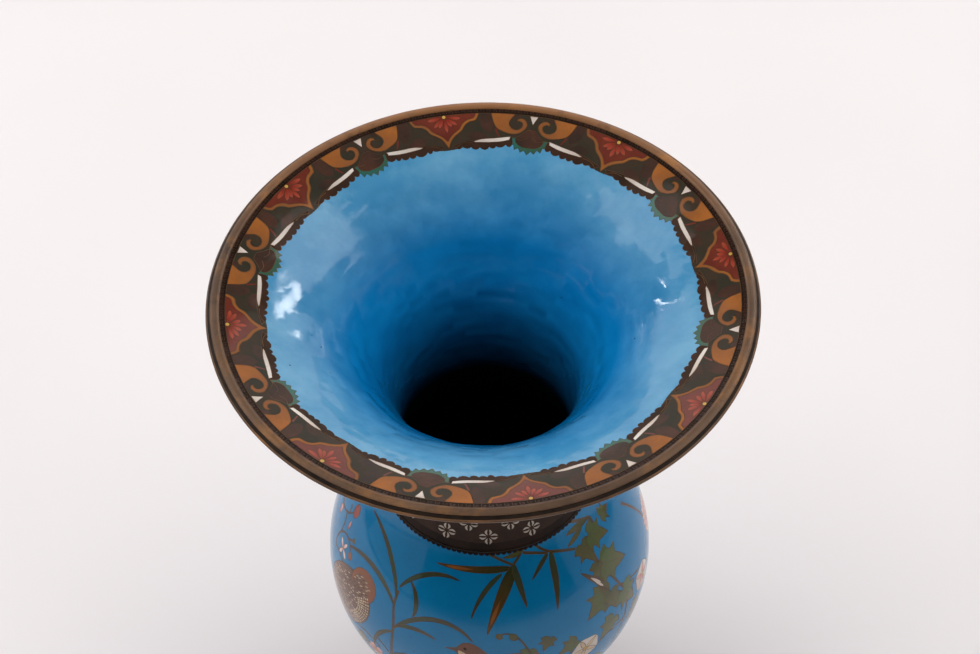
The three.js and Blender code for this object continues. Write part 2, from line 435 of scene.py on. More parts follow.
def patch(name, places, normals, faces, paints, choice=None, tone=None):
    """A mesh object of some of the faces, with the surface's own smooth normals."""
    used, index = np.unique(faces, return_inverse=True)
    index = index.reshape(faces.shape)
    mesh = bpy.data.meshes.new(name)
    mesh.from_pydata(places[used].tolist(), [], index.tolist())
    if tone is not None:
        shade = mesh.attributes.new("tone", "FLOAT", "CORNER")
        shade.data.foreach_set("value", np.clip(tone, 0, 1).astype(np.float32).ravel())
    for paint in paints:
        mesh.materials.append(PAINTS[paint][1]())
    if choice is not None:
        mesh.polygons.foreach_set("material_index", choice)
    mesh.polygons.foreach_set("use_smooth", [True] * len(mesh.polygons))
    mesh.normals_split_custom_set_from_vertices(normals[used].tolist())
    piece = bpy.data.objects.new(name, mesh)
    bpy.context.scene.collection.objects.link(piece)
    return piece


# ---- plain turned surfaces -----------------------------------------------

def ring_faces(rings, columns):
    """Quads between rings of points, each ring closed on itself."""
    ring, column = np.meshgrid(np.arange(rings - 1), np.arange(columns), indexing="ij")
    start = (ring * columns + column).ravel()
    beside = (ring * columns + (column + 1) % columns).ravel()
    return np.stack([start, beside, beside + columns, start + columns], 1)


def skin(name, face, low, high, paint, step=3.0, columns=TURNED_STEPS):
    """A plain stretch of one face of the wall."""
    rings = max(2, int((high - low) / step) + 1)
    turn = np.tile(np.arange(columns) * 2 * math.pi / columns, rings)
    along = np.repeat(np.linspace(low, high, rings), columns)
    faces = ring_faces(rings, columns)
    if face.outward < 0:
        faces = faces[:, ::-1]
    return patch(name, face.place(turn, along), face.normals(turn, along), faces, [paint])


def rounded(points, steps=4):
    """A closed outline whose corners are curves; each point is (radius, height, reach)."""
    line = []
    count = len(points)
    for k in range(count):
        corner = np.array(points[k][:2], float)
        reach = points[k][2]
        for_before = np.array(points[k - 1][:2], float) - corner
        for_after = np.array(points[(k + 1) % count][:2], float) - corner
        start = corner + for_before / np.linalg.norm(for_before) * reach
        end = corner + for_after / np.linalg.norm(for_after) * reach
        for t in np.linspace(0, 1, steps + 1):
            line.append((1 - t) ** 2 * start + 2 * t * (1 - t) * corner + t ** 2 * end)
    return np.array(line)


def turned(name, outline, paint, columns=TURNED_STEPS):
    """A solid ring, turned from a closed outline of (radius, height)."""
    outline = anticlockwise(outline)
    tangent = np.roll(outline, -1, 0) - np.roll(outline, 1, 0)
    tangent /= np.linalg.norm(tangent, axis=1)[:, None]
    normal = np.stack([tangent[:, 1], -tangent[:, 0]], 1)
    turn = np.tile(np.arange(columns) * 2 * math.pi / columns, len(outline) + 1)
    closed = np.repeat(np.concatenate([outline, outline[:1]]), columns, axis=0)
    facing = np.repeat(np.concatenate([normal, normal[:1]]), columns, axis=0)
    s, c = np.sin(turn), -np.cos(turn)
    places = np.stack([closed[:, 0] * s, closed[:, 0] * c, closed[:, 1]], 1) * MM
    normals = np.stack([facing[:, 0] * s, facing[:, 0] * c, facing[:, 1]], 1)
    faces = ring_faces(len(outline) + 1, columns)
    last = len(outline) * columns
    faces = np.where(faces >= last, faces - last, faces)
    return patch(name, places, normals, faces, [paint])


def disc(name, radius, height, up, paint, rings=12, columns=96):
    """A flat round floor, facing up or down."""
    share = np.repeat(np.linspace(1, 1 / rings, rings), columns)
    turn = np.tile(np.arange(columns) * 2 * math.pi / columns, rings)
    rim = np.stack([radius * share * np.sin(turn), -radius * share * np.cos(turn)], 1)
    places = np.zeros((len(rim) + 1, 3))
    places[:-1, :2] = rim
    places[:, 2] = height
    quads = ring_faces(rings, columns)
    last = (rings - 1) * columns + np.arange(columns)
    beside = (rings - 1) * columns + (np.arange(columns) + 1) % columns
    middle = np.stack([last, beside, np.full(columns, len(rim))], 1)
    faces = np.concatenate([quads[:, [0, 1, 2]], quads[:, [0, 2, 3]], middle])
    if not up:
        faces = faces[:, ::-1]
    normals = np.tile((0.0, 0.0, 1.0 if up else -1.0), (len(places), 1))
    return patch(name, places * MM, normals, faces, [paint])


def bead(name, along, width, lift, paint):
    """The polished edge of a wire ring that stands a little proud of the enamel."""
    arc = np.linspace(0, math.pi, 9)
    turn = np.tile(np.arange(TURNED_STEPS) * 2 * math.pi / TURNED_STEPS, len(arc))
    rise = np.repeat(np.sin(arc), TURNED_STEPS)
    across = np.repeat(-np.cos(arc), TURNED_STEPS)
    places = OUTER.place(turn, along + across * width / 2, (rise * 1.3 - 0.3) * lift)
    level = OUTER.normals(turn, np.full(len(turn), along))
    up = OUTER.place(turn, np.full(len(turn), along + 1.0)) - OUTER.place(turn, np.full(len(turn), along))
    up /= np.linalg.norm(up, axis=1)[:, None]
    normals = level * rise[:, None] + up * across[:, None]
    return patch(name, places, normals, ring_faces(len(arc), TURNED_STEPS), [paint])


# ---- materials -----------------------------------------------------------

def srgb(red, green, blue):
    """The linear colour of an 8-bit display colour."""
    c = np.array([red, green, blue]) / 255
    linear = np.where(c <= 0.04045, c / 12.92, ((c + 0.055) / 1.055) ** 2.4)
    return (*linear.tolist(), 1.0)


class Shader:
    """A material under construction: a Principled shader and short calls for its nodes."""

    def __init__(self, name):
        self.material = bpy.data.materials.new(name)
        self.material.use_nodes = True
        self.tree = self.material.node_tree
        self.surface = self.tree.nodes["Principled BSDF"]
        self.space = self.tree.nodes.new("ShaderNodeTexCoord").outputs["Object"]

    def link(self, output, socket):
        self.tree.links.new(output, socket)

    def noise(self, scale, detail=3.0, rough=0.5, shift=0.0):
        node = self.tree.nodes.new("ShaderNodeTexNoise")
        node.inputs["Scale"].default_value = scale
        node.inputs["Detail"].default_value = detail
        node.inputs["Roughness"].default_value = rough
        place = self.space
        if shift:
            mapping = self.tree.nodes.new("ShaderNodeMapping")
            mapping.inputs["Location"].default_value = (shift, 2 * shift, -shift)
            self.link(self.space, mapping.inputs["Vector"])
            place = mapping.outputs["Vector"]
        self.link(place, node.inputs["Vector"])
        return node.outputs["Fac"]

    def specks(self, scale):
        """Distance to the nearest of many scattered points."""
        node = self.tree.nodes.new("ShaderNodeTexVoronoi")
        node.inputs["Scale"].default_value = scale
        self.link(self.space, node.inputs["Vector"])
        return node.outputs["Distance"]

    def span(self, value, low, high, to_low=0.0, to_high=1.0):
        """Maps a stretch of a value on to another stretch, and holds it there."""
        node = self.tree.nodes.new("ShaderNodeMapRange")
        self.link(value, node.inputs["Value"])
        for socket, number in zip(("From Min", "From Max", "To Min", "To Max"),
                                  (low, high, to_low, to_high)):
            node.inputs[socket].default_value = number
        return node.outputs["Result"]

    def math(self, operation, a, b):
        node = self.tree.nodes.new("ShaderNodeMath")
        node.operation = operation
        for socket, value in zip(node.inputs, (a, b)):
            if isinstance(value, (int, float)):
                socket.default_value = value
            else:
                self.link(value, socket)
        return node.outputs["Value"]

    def mix(self, factor, a, b):
        node = self.tree.nodes.new("ShaderNodeMix")
        node.data_type = "RGBA"
        self.link(factor, node.inputs["Factor"])
        for socket, colour in (("A", a), ("B", b)):
            target = [i for i in node.inputs if i.name == socket and i.type == "RGBA"][0]
            if isinstance(colour, tuple):
                target.default_value = colour
            else:
                self.link(colour, target)
        return [o for o in node.outputs if o.type == "RGBA"][0]

    def place_along(self, axis):
        """How far along X, Y or Z a point of the object lies, in metres."""
        node = self.tree.nodes.new("ShaderNodeSeparateXYZ")
        self.link(self.space, node.inputs["Vector"])
        return node.outputs[axis]

    def tone(self):
        node = self.tree.nodes.new("ShaderNodeAttribute")
        node.attribute_name = "tone"
        return node.outputs["Fac"]

    def bump(self, height, strength, distance):
        node = self.tree.nodes.new("ShaderNodeBump")
        node.inputs["Strength"].default_value = strength
        node.inputs["Distance"].default_value = distance
        self.link(height, node.inputs["Height"])
        self.link(node.outputs["Normal"], self.surface.inputs["Normal"])

    def set(self, **values):
        for name, value in values.items():
            socket = self.surface.inputs[name.replace("_", " ").title()
                                         .replace("Ior", "IOR")]
            if hasattr(value, "is_linked"):
                self.link(value, socket)
            else:
                socket.default_value = value


def dimmed(colour, share):
    """A display colour made linear and darkened."""
    return tuple(share * c for c in srgb(*colour)[:3]) + (1.0,)


def enamel(name, main, second, shaded=None, gloss=(0.07, 0.16), pits=0.0, cloud=45, polish=1.0):
    """Polished vitreous enamel: cloudy colour, a shade along each cell, fine pits."""
    @cache
    def make():
        s = Shader(name)
        cloudy = s.span(s.noise(cloud, 4, 0.6), 0.35, 0.65)
        colour = s.mix(cloudy, srgb(*main), srgb(*second))
        if shaded:
            colour = s.mix(s.span(s.tone(), 0.15, 0.9), colour, srgb(*shaded))
        grain = s.span(s.noise(900, 2, 0.7, 3), 0.3, 0.75, 0, 0.16)
        colour = s.mix(grain, colour, dimmed(main, 0.55))
        height = s.math("MULTIPLY", s.noise(70, 2, 0.5, 5), 0.6)
        if pits:
            hole = s.span(s.specks(170), 0.03 * pits, 0.075 * pits, 1, 0)
            rare = s.math("MULTIPLY", hole, s.span(s.noise(60, 1, 0.5, 9), 0.56, 0.62))
            colour = s.mix(rare, colour, dimmed(main, 0.2))
            height = s.math("SUBTRACT", height, rare)
        s.set(base_color=colour, roughness=s.span(s.noise(120, 3, 0.6, 1), 0.35, 0.7, *gloss))
        s.set(coat_weight=0.12 * polish, coat_roughness=0.04, ior=1 + 0.46 * polish)
        s.bump(height, 0.35, 0.0004)
        return s.material
    return make


@cache
def wire_metal():
    """Thin brass wire, dulled to brown in places."""
    s = Shader("wire")
    worn = s.span(s.noise(130, 4, 0.6), 0.35, 0.68)
    s.set(base_color=s.mix(worn, srgb(108, 78, 48), srgb(58, 42, 31)), metallic=0.7)
    s.set(roughness=s.span(s.noise(300, 2), 0.3, 0.7, 0.3, 0.5))
    s.bump(s.noise(800, 2), 0.2, 0.0001)
    return s.material


@cache
def bronze():
    """Brown patinated bronze with fine turning marks and gilding, with a painted highlight: lighter and
    more golden towards the back (+Y).
    """
    s = Shader("bronze")
    patina = s.mix(s.span(s.noise(40, 5, 0.65), 0.35, 0.65), srgb(104, 78, 58), srgb(80, 60, 46))
    gilding = s.span(s.noise(22, 6, 0.7, 4), 0.52, 0.66)
    # Painted highlight: the gilding's share and a golden colour grow towards the back (+Y), away from the
    # camera.
    kept = s.span(s.place_along("Y"), 0.0, 0.08, 0.5, 1.0)
    colour = s.mix(s.math("MULTIPLY", gilding, kept), patina, srgb(170, 114, 58))
    colour = s.mix(s.span(s.place_along("Y"), 0.02, 0.09, 0, 0.5), colour, srgb(176, 116, 66))
    stain = s.span(s.noise(150, 4, 0.7, 8), 0.55, 0.75, 0, 0.5)
    colour = s.mix(stain, colour, srgb(52, 38, 30))
    s.set(base_color=colour, metallic=0.3)
    s.set(roughness=s.span(s.noise(110, 4, 0.6, 2), 0.3, 0.7, 0.34, 0.5))
    scratch = s.math("ADD", s.noise(260, 3, 0.7, 6), s.math("MULTIPLY", s.noise(1400, 2), 0.5))
    s.bump(scratch, 0.3, 0.0002)
    return s.material


@cache
def groove_shade_and_dull_wire():
    """Dark brown: painted shade in the bronze groove, and a dull dark finish over the wire rings."""
    s = Shader("groove_shade_and_dull_wire")
    worn = s.span(s.noise(90, 4, 0.65), 0.4, 0.7)
    s.set(base_color=s.mix(worn, srgb(28, 19, 13), srgb(50, 35, 24)), metallic=0.2)
    s.set(roughness=s.span(s.noise(260, 3), 0.3, 0.7, 0.6, 0.8))
    s.bump(s.noise(700, 3), 0.4, 0.0002)
    return s.material


@cache
def copper():
    """The spun copper wall, seen only where the enamel ends."""
    s = Shader("copper")
    tarnish = s.span(s.noise(60, 5, 0.7), 0.4, 0.65)
    s.set(base_color=s.mix(tarnish, srgb(176, 108, 76), srgb(104, 66, 50)), metallic=1.0)
    s.set(roughness=s.span(s.noise(160, 3), 0.3, 0.7, 0.3, 0.5))
    s.bump(s.noise(500, 3), 0.25, 0.0002)
    return s.material


@cache
def lining_enamel():
    """Pale blue counter-enamel that turns deeper blue lower down, with painted shade that takes it to
    near black deep in the throat.
    """
    s = Shader("lining")
    cloudy = s.span(s.noise(30, 5, 0.6), 0.38, 0.6)
    colour = s.mix(cloudy, srgb(96, 152, 184), srgb(62, 130, 170))
    height = s.place_along("Z")
    colour = s.mix(s.span(height, 0.282, 0.262), colour, s.mix(cloudy, srgb(10, 116, 174),
                                                               srgb(4, 104, 162)))
    # Painted shade: near black deep in the throat, from 0.25 m down to 0.205 m.
    colour = s.mix(s.span(height, 0.25, 0.205), colour, srgb(5, 10, 15))
    hole = s.span(s.specks(150), 0.03, 0.07, 1, 0)
    rare = s.math("MULTIPLY", hole, s.span(s.noise(50, 1, 0.5, 9), 0.58, 0.64))
    colour = s.mix(rare, colour, srgb(30, 44, 58))
    s.set(base_color=colour, roughness=s.span(s.noise(90, 3, 0.6, 1), 0.35, 0.7, 0.1, 0.22))
    s.set(coat_weight=0.2, coat_roughness=0.06, ior=1.5)
    waves = s.math("ADD", s.noise(120, 2, 0.5, 5), s.math("MULTIPLY", s.noise(320, 2, 0.5, 2), 0.25))
    s.bump(s.math("SUBTRACT", waves, rare), 0.35, 0.0006)
    return s.material


# Each paint is the record's material slot and the function that makes its material.
PAINTS = {
    "wire": ("cell_wire", wire_metal),
    "dull_wire": ("cell_wire", groove_shade_and_dull_wire),
    "bronze": ("patinated_bronze", bronze),
    # painted shade for the collar's groove
    "groove_shade_and_dull_wire": ("patinated_bronze", groove_shade_and_dull_wire),
    "lining": ("counter_enamel", lining_enamel),
}


def mix_enamel(name, slot, *colours, **finish):
    """Adds an enamel to the paints: main, second and, if it shades, third display colour."""
    PAINTS[name] = (slot, enamel(name, *colours, **finish))


mix_enamel("blue", "turquoise_enamel", (4, 108, 156), (10, 116, 164), pits=0.8, polish=0.8)
mix_enamel("ground", "dark_enamel", (48, 46, 37), (60, 48, 38), cloud=90, polish=0.5)
mix_enamel("umber", "dark_enamel", (50, 40, 34), (74, 48, 38), cloud=70, polish=0.6)
mix_enamel("brown", "dark_enamel", (48, 35, 27), (62, 42, 32), cloud=120, polish=0.35)
mix_enamel("bark", "dark_enamel", (92, 62, 50), (70, 48, 40), cloud=120)
mix_enamel("black", "black_enamel",
           (26, 18, 13), (42, 28, 21), gloss=(0.16, 0.3), cloud=90, polish=0.35)
mix_enamel("maroon", "red_enamel", (104, 46, 33), (92, 40, 31), cloud=120)
mix_enamel("red", "red_enamel", (134, 43, 31), (118, 36, 29), (150, 66, 48), cloud=160)
mix_enamel("rose", "red_enamel", (196, 98, 92), (176, 84, 80), (224, 172, 162), cloud=160)
mix_enamel("petal", "white_enamel", (206, 140, 134), (214, 160, 150), (228, 212, 204), cloud=160)
mix_enamel("white", "white_enamel", (214, 204, 194), (196, 184, 174), (182, 164, 152))
mix_enamel("bone", "white_enamel", (182, 174, 162), (164, 154, 142))
mix_enamel("ochre", "ochre_enamel",
           (150, 90, 42), (132, 79, 39), (120, 74, 44), cloud=120, polish=0.6)
mix_enamel("yellow", "ochre_enamel", (190, 150, 76), (170, 124, 58))
mix_enamel("cream", "ochre_enamel", (206, 182, 148), (188, 160, 126))
mix_enamel("feather", "ochre_enamel", (104, 72, 56), (88, 60, 48), (118, 80, 60), cloud=120)
mix_enamel("plume", "ochre_enamel", (112, 62, 36), (94, 52, 32), (82, 50, 34), cloud=120)
mix_enamel("rust", "ochre_enamel", (146, 82, 42), (128, 70, 38), (122, 70, 42), cloud=120)
mix_enamel("teal", "green_enamel", (42, 92, 82), (56, 80, 60), cloud=160)
mix_enamel("leaf", "green_enamel", (78, 78, 36), (66, 70, 36), (88, 80, 40), cloud=120)
mix_enamel("ivy", "green_enamel", (66, 92, 42), (76, 84, 40), (90, 80, 40), cloud=120)
mix_enamel("grass", "green_enamel", (58, 62, 40), (52, 72, 48), (70, 60, 42), cloud=120)
mix_enamel("bamboo", "green_enamel", (46, 50, 26), (56, 56, 28), (92, 60, 30), cloud=120)
mix_enamel("stem", "green_enamel", (86, 64, 46), (70, 62, 42), cloud=120)


# ---- lip border ----------------------------------------------------------

FRET_RADIUS = span("lip_fret_enamel")[0]
BORDER_RADIUS = span("lip_border_enamel")[0]
LAPPETS = 8
FIRST_LAPPET = math.radians(188.6)
LIP_PITCH = 2 * math.pi / LAPPETS
FRET_TICKS = 236     # key-fret wires round the rim, inside and out
LIP_OVERLAP = 8      # how far the lip's drawing runs in over the blue lining

# Lip motifs have x round the lip and y inwards from the fret, 0 at a lappet's middle.

LAPPET_HALF = joined(
    curve([(0, 13.8), (-1.2, 11.2), (-2.8, 9.3), (-5.2, 7.6), (-6.2, 6.8)], steps=4)[:-1],
    curve([(-6.3, 6.6), (-7.4, 4.9), (-9.0, 3.7), (-10.8, 3.2), (-12.0, 2.9)], steps=4)[:-1],
    curve([(-12.1, 2.6), (-12.9, 1.4), (-13.9, -1.0)], steps=3),
)


def lip_lappet(band, spot):
    """An ochre-edged ogee tongue that holds half a flower."""
    outline = joined(mirrored(LAPPET_HALF)[:-1], LAPPET_HALF)
    band.cell(spot, outline, "ochre", wire=0.3)
    band.cell(spot, grown(outline, -1.1), "maroon", wire=0.22)
    petals = [(-81, 6.4), (-50, 6.0), (-24, 5.2), (2, 6.8), (27, 5.2), (52, 6.0), (81, 6.4)]
    for angle, length in petals:
        a = math.radians(angle + draw.uniform(-5, 5))
        out = np.array([math.sin(a), math.cos(a)])
        spine = curve([out + (0, 0.6), out * length * 0.6 + (0, 0.7), out * length + (0, 0.5)],
                      steps=4)
        band.cell(spot, blade(spine, 1.35, 0.62), "red", wire=0.14, axis=(spine[0], spine[-1]))
    band.cell(spot, circle(0, 0.7, 0.7, 8), "yellow", wire=0.16)


SCROLL = joined(
    curve([(18.2, -1.0), (18.2, 1.5), (18.4, 4.2), (19.2, 6.2), (21.6, 7.6), (24.6, 8.3),
           (27.4, 7.6), (29.9, 5.8), (31.0, 4.0), (30.6, 2.3), (29.2, 1.7), (27.8, 2.3)], steps=3),
    curve([(27.6, 2.9), (28.6, 2.7), (29.4, 3.4), (29.3, 4.6), (28.2, 6.0), (26.5, 6.7),
           (24.9, 6.3), (24.0, 5.0), (24.3, 3.3), (25.6, 1.6), (27.0, 0.0), (27.4, -1.0)], steps=3),
)


def lip_scroll(band, spot):
    """A comma scroll that sweeps away from its lappet."""
    band.cell(spot, SCROLL, "ochre", wire=0.3, axis=((18, 0), (31, 6)))
    band.stroke(spot, curve([(18.6, 6.4), (18.9, 8.2), (19.4, 9.8)], steps=3), 0.8, 0.5, "maroon")


def lobed_edge(start, end, lobes, depth):
    """Uneven scallops that hang along a curve from start to end."""
    start, end = np.array(start, float), np.array(end, float)
    cuts = [0.0] + [(k + draw.uniform(-0.25, 0.25)) / lobes for k in range(1, lobes)] + [1.0]
    points = []
    for low, high in zip(cuts, cuts[1:]):
        hang = depth * draw.uniform(0.6, 1.15)
        for t in (0.0, 0.22, 0.5, 0.78):
            share = low + (high - low) * t
            drop = hang * math.sin(math.pi * t) ** 0.7
            sag = 1.3 * math.sin(math.pi * min(1, share * 1.1))
            points.append(start + (end - start) * share + (0, drop + sag))
    points.append(end)
    return np.array(points)


def lip_leaf_edge(band, spot):
    """Under each scroll: a dark lobed edge with a white crescent along its top."""
    lower = lobed_edge((24.0, 12.0), (2.4, 13.4), 7, 1.15)
    upper = curve([(1.6, 12.8), (8.0, 11.4), (16.0, 10.8), (24.2, 9.9)], steps=5)
    band.cell(spot, joined(upper, lower), "brown", wire=0.16)
    crescent = joined(
        curve([(9.6, 11.7), (13.0, 10.9), (18.0, 10.5), (23.6, 9.6)], steps=5),
        curve([(23.0, 10.8), (19.4, 11.7), (15.0, 12.1), (10.4, 12.0)], steps=5),
    )
    band.cell(spot, crescent, "white", wire=0.2, axis=((24, 10), (9, 12)))


def lip_jagged_leaf(band, spot):
    """Half-way between lappets: a jagged green leaf under a brown bulb and a white drop."""
    half = [(0, 16.4), (-1.3, 14.8), (-2.6, 15.7), (-3.6, 14.0), (-5.0, 14.8), (-5.6, 12.9),
            (-7.2, 12.8), (-8.4, 10.0)]
    band.cell(spot, joined(mirrored(half)[:-1], half), "teal", wire=0.18)
    bulb = [(0, 13.6), (-2.6, 13.4), (-4.8, 12.0), (-5.2, 10.2), (-3.4, 8.6), (-1.4, 6.4)]
    bulb_half = curve(bulb, steps=3)
    band.cell(spot, joined(mirrored(bulb_half)[:-1], bulb_half), "umber", wire=0.18)
    band.cell(spot, [(-1.5, 0.3), (1.5, 0.3), (0.1, 3.7)], "white", wire=0.18)


def lip_ground(band, spot):
    """The dark ground of one repeat, down to where the blue begins, with brown patches."""
    half = LIP_PITCH / 2 * FRET_RADIUS * 1.02
    lower = curve([(half, 11.0), (24, 12.4), (10, 13.2), (0, 14.6), (-10, 13.2), (-24, 12.4),
                   (-half, 11.0)], steps=5)
    band.add(spot.flat(band, joined(lower, [(-half, -1.0), (half, -1.0)])), "ground")
    patches = [
        [(14.6, 0.0), (17.6, -0.6), (18.2, 5.0), (16.0, 8.4), (13.4, 5.4)],
        [(26.4, -0.6), (29.6, -0.6), (28.2, 1.4), (26.4, 1.8)],
        [(30.0, 8.0), (33.6, 5.6), (33.6, 10.6), (29.0, 11.2)],
        [(8.2, 8.6), (12.4, 7.8), (15.4, 10.4), (9.4, 11.2)],
    ]
    for flip in (True, False):
        flipped = Spot(spot.turn, spot.along, spot.angle, spot.size, flip)
        for patch_outline in patches:
            band.add(flipped.flat(band, curve(patch_outline, closed=True, steps=3)), "umber")


def lip_wires(band, spot):
    """Loose wires that steady the dark ground, and the thin stem to the lappet's tip."""
    for flip in (True, False):
        flipped = Spot(spot.turn, spot.along, spot.angle, spot.size, flip)
        band.stroke(flipped, curve([(8.6, 12.0), (5.0, 12.4), (1.6, 14.6)], steps=4), 0.26)
        band.stroke(flipped, curve([(24.5, 9.6), (27.6, 10.6), (30.4, 9.4)], steps=4), 0.2)


def full_ring(band, low, high, paint):
    """A plain stripe right round a band."""
    half = math.pi * band.scale
    outline = [(-half, low), (half, low), (half, high), (-half, high)]
    band.outlines.append(split_long(np.array(outline)))
    band.paints.append(paint)
    band.axes.append(((0, low), (0, high)))


def fret_ticks(band, along, height, count):
    """A run of small key-fret wires, one after another round the band."""
    key = [(-0.95, 0), (-0.95, 1), (0.35, 1), (0.35, 0.4), (-0.3, 0.4)]
    line = [(a, b * height) for a, b in key]
    for k in range(count):
        turn = 2 * math.pi * (k + 0.5) / count - math.pi
        paint = "wire" if draw.random() < 0.25 else "bark"
        band.stroke(Spot(turn, along), line, 0.16, paint=paint)


def lip_turn(repeat):
    """The turn of a lappet, or of a place between two, within half a turn either way."""
    return (FIRST_LAPPET - repeat * LIP_PITCH + math.pi) % (2 * math.pi) - math.pi


def lip_band():
    """The inner face's border, from the blue lining out to the bronze collar."""
    fret = INNER.at_radius(FRET_RADIUS)
    edge = float(INNER.along[-1])
    low = INNER.at_radius(BORDER_RADIUS) - LIP_OVERLAP
    band = Band("lip", INNER, low, edge, "lining", grain=2.0)
    for index in range(LAPPETS):
        lip_ground(band, Spot(lip_turn(index), fret, math.pi))
    for index in range(LAPPETS):
        size = draw.uniform(0.97, 1.03)
        lip_jagged_leaf(band, Spot(lip_turn(index + 0.5), fret, math.pi, size))
    for index in range(LAPPETS):
        turn = lip_turn(index)
        for flip in (False, True):
            spot = Spot(turn + draw.uniform(-0.004, 0.004), fret, math.pi, 1.0, flip)
            lip_leaf_edge(band, spot)
            lip_scroll(band, spot)
        lip_wires(band, Spot(turn, fret, math.pi))
        lip_lappet(band, Spot(turn, fret, math.pi, draw.uniform(0.98, 1.02)))
    full_ring(band, fret, edge, "black")
    full_ring(band, fret - 0.08, fret + 0.1, "wire")
    fret_ticks(band, fret + 0.5, 1.1, FRET_TICKS)
    return band.lay()


# ---- charts of the outer bands -------------------------------------------

class Chart:
    """Paper for a band's picture: x round the widest body, y down from the band's top."""

    def __init__(self, band):
        self.band = band

    def spot(self, x, y, angle=0.0, size=1.0, flip=False):
        return Spot(x / BODY_RADIUS, self.band.high - y, angle, size, flip)

    def local(self, points):
        """A spot at the first point, and the points as true lengths from it."""
        points = np.array(points, float)
        spot = self.spot(*points[0])
        along = self.band.high - points[:, 1]
        x = (points[:, 0] - points[0, 0]) / BODY_RADIUS * self.band.face.radius(along)
        return spot, np.stack([x, along - spot.along], 1)

    def stem(self, points, width=0.7, end_width=0.4, paint="stem"):
        spot, line = self.local(points)
        self.band.cell(spot, ribbon(curve(line, steps=5), width, end_width), paint, wire=0.2)

    def leaf(self, points, width, paint="leaf", fullest=0.45, vein=True):
        """A blade whose spine runs through a few chart points, from base to tip."""
        spot, line = self.local(points)
        spine = curve(line, steps=5)
        self.band.cell(spot, blade(spine, width, fullest), paint, 0.26, (spine[0], spine[-1]))
        if vein and width > 2.2:
            self.band.stroke(spot, spine[1:-3], 0.16, 0.1, "bark")

    def streak(self, points, width, paint):
        """A pale streak along a leaf, with no wire of its own."""
        spot, line = self.local(points)
        self.band.add(spot.flat(self.band, blade(curve(line, steps=5), width, 0.6)), paint)


def ivy_leaf(chart, x, y, size, angle, paint="ivy"):
    """A five-lobed pointed leaf with wire veins; the stalk end is at the spot."""
    half = [(0, 0), (1.6, -1.3), (3.4, -0.9), (5.4, 0.6), (4.0, 1.6), (3.6, 2.6), (5.2, 4.6),
            (3.4, 4.4), (2.2, 4.9), (1.5, 6.6), (0, 9.4)]
    left = [(-a * 0.92, b * 1.04) for a, b in half[1:-1]][::-1]
    spot = chart.spot(x, y, math.radians(angle), size / 9)
    chart.band.cell(spot, np.array(half + left), paint, 0.28, ((-3, 0), (3, 9)))
    for tip in ((0, 7.6), (3.9, 3.6), (-3.7, 3.7), (3.6, 0.6), (-3.4, 0.7)):
        chart.band.stroke(spot, [(0, 0.6), tip], 0.18, 0.1, "stem")


def blossom(chart, x, y, size, paint="petal", petals=5, turn=0.0):
    """A small round-petalled flower with a yellow middle and wire stamens."""
    spot = chart.spot(x, y, turn, size)
    for k in range(petals):
        a = 2 * math.pi * k / petals
        out = np.array([math.sin(a), math.cos(a)])
        side = np.array([out[1], -out[0]])
        petal = curve([0.15 * out, 0.62 * out + 0.34 * side, 1.0 * out + 0.2 * side, 0.93 * out,
                       1.0 * out - 0.2 * side, 0.62 * out - 0.34 * side], closed=True, steps=3)
        chart.band.cell(spot, petal, paint, 0.22, (0.1 * out, 1.0 * out))
    for k in range(petals):
        a = 2 * math.pi * (k + 0.5) / petals
        out = np.array([math.sin(a), math.cos(a)])
        chart.band.stroke(spot, [0.1 * out, 0.45 * out], 0.16 / size)
    chart.band.cell(spot, circle(0, 0, 0.17, 8), "yellow", 0.16)


def morning_glory(chart, x, y, size, angle=0.0, paint="petal", star="rose"):
    """A trumpet flower seen from the front: a wavy disc with a five-armed star."""
    spot = chart.spot(x, y, angle, size)
    a = np.linspace(0, 2 * math.pi, 40, endpoint=False)
    edge = 1 + 0.06 * np.cos(5 * a)
    disc = np.stack([edge * np.sin(a), 0.86 * edge * np.cos(a)], 1)
    chart.band.cell(spot, disc, paint, 0.26, ((0.9, 0.9), (-0.9, -0.9)))
    for k in range(5):
        t = 2 * math.pi * k / 5
        out = np.array([math.sin(t), 0.86 * math.cos(t)])
        chart.band.cell(spot, blade(curve([0.1 * out, 0.5 * out, 0.96 * out], steps=4), 0.24),
                        star, 0.3, (0.1 * out, out))
    chart.band.cell(spot, circle(0, 0, 0.16, 8), "yellow", 0.18)


def bud(chart, x, y, size, angle, paint="petal"):
    """A furled bud that tapers to its tip, in a green calyx."""
    spot = chart.spot(x, y, angle, size)
    spine = curve([(0, 0), (0.04, 0.5), (0, 1)], steps=5)
    chart.band.cell(spot, blade(spine, 0.14, 0.4), "stem", 0.2, ((0, 0), (0, 1)))
    chart.band.cell(spot, blade(spine[2:-3], 0.09, 0.4), paint, 0.12, ((0, 0), (0, 1)))
    for side in (-1, 1):
        sepal = curve([(0, -0.08), (side * 0.1, 0.1), (side * 0.06, 0.34)], steps=3)
        chart.band.cell(spot, blade(sepal, 0.09), "leaf", 0.18)


def berry_spray(chart, points, buds):
    """A curled tendril with round buds hanging from it."""
    chart.stem(points, 0.5, 0.25, "grass")
    for x, y, size in buds:
        spot = chart.spot(x, y, math.radians(draw.uniform(-60, 60)), size)
        outline = curve([(0, -1), (0.75, -0.3), (0.6, 0.6), (0, 1), (-0.6, 0.6), (-0.75, -0.3)],
                        closed=True, steps=3)
        chart.band.cell(spot, outline, "leaf", 0.22)
        chart.band.stroke(spot, [(0, -0.9), (0.1, 0.7)], 0.18 / size)


QUAIL_BODY = (0, -3, 17.5, 13, 45)
QUAIL_BACK = (-1, -3, 14, 11.5, 45)
QUAIL_HEAD = (8, 11, 7.5, 7.5)
QUAIL_NAPE = (7, 8, 7.5, 5.5, 90)
DASH_ROWS = 17
DASH_COLUMNS = 18
BREAST_DOTS = 52        # dots round a whole ring, of which the last few are drawn
BREAST_START = 38


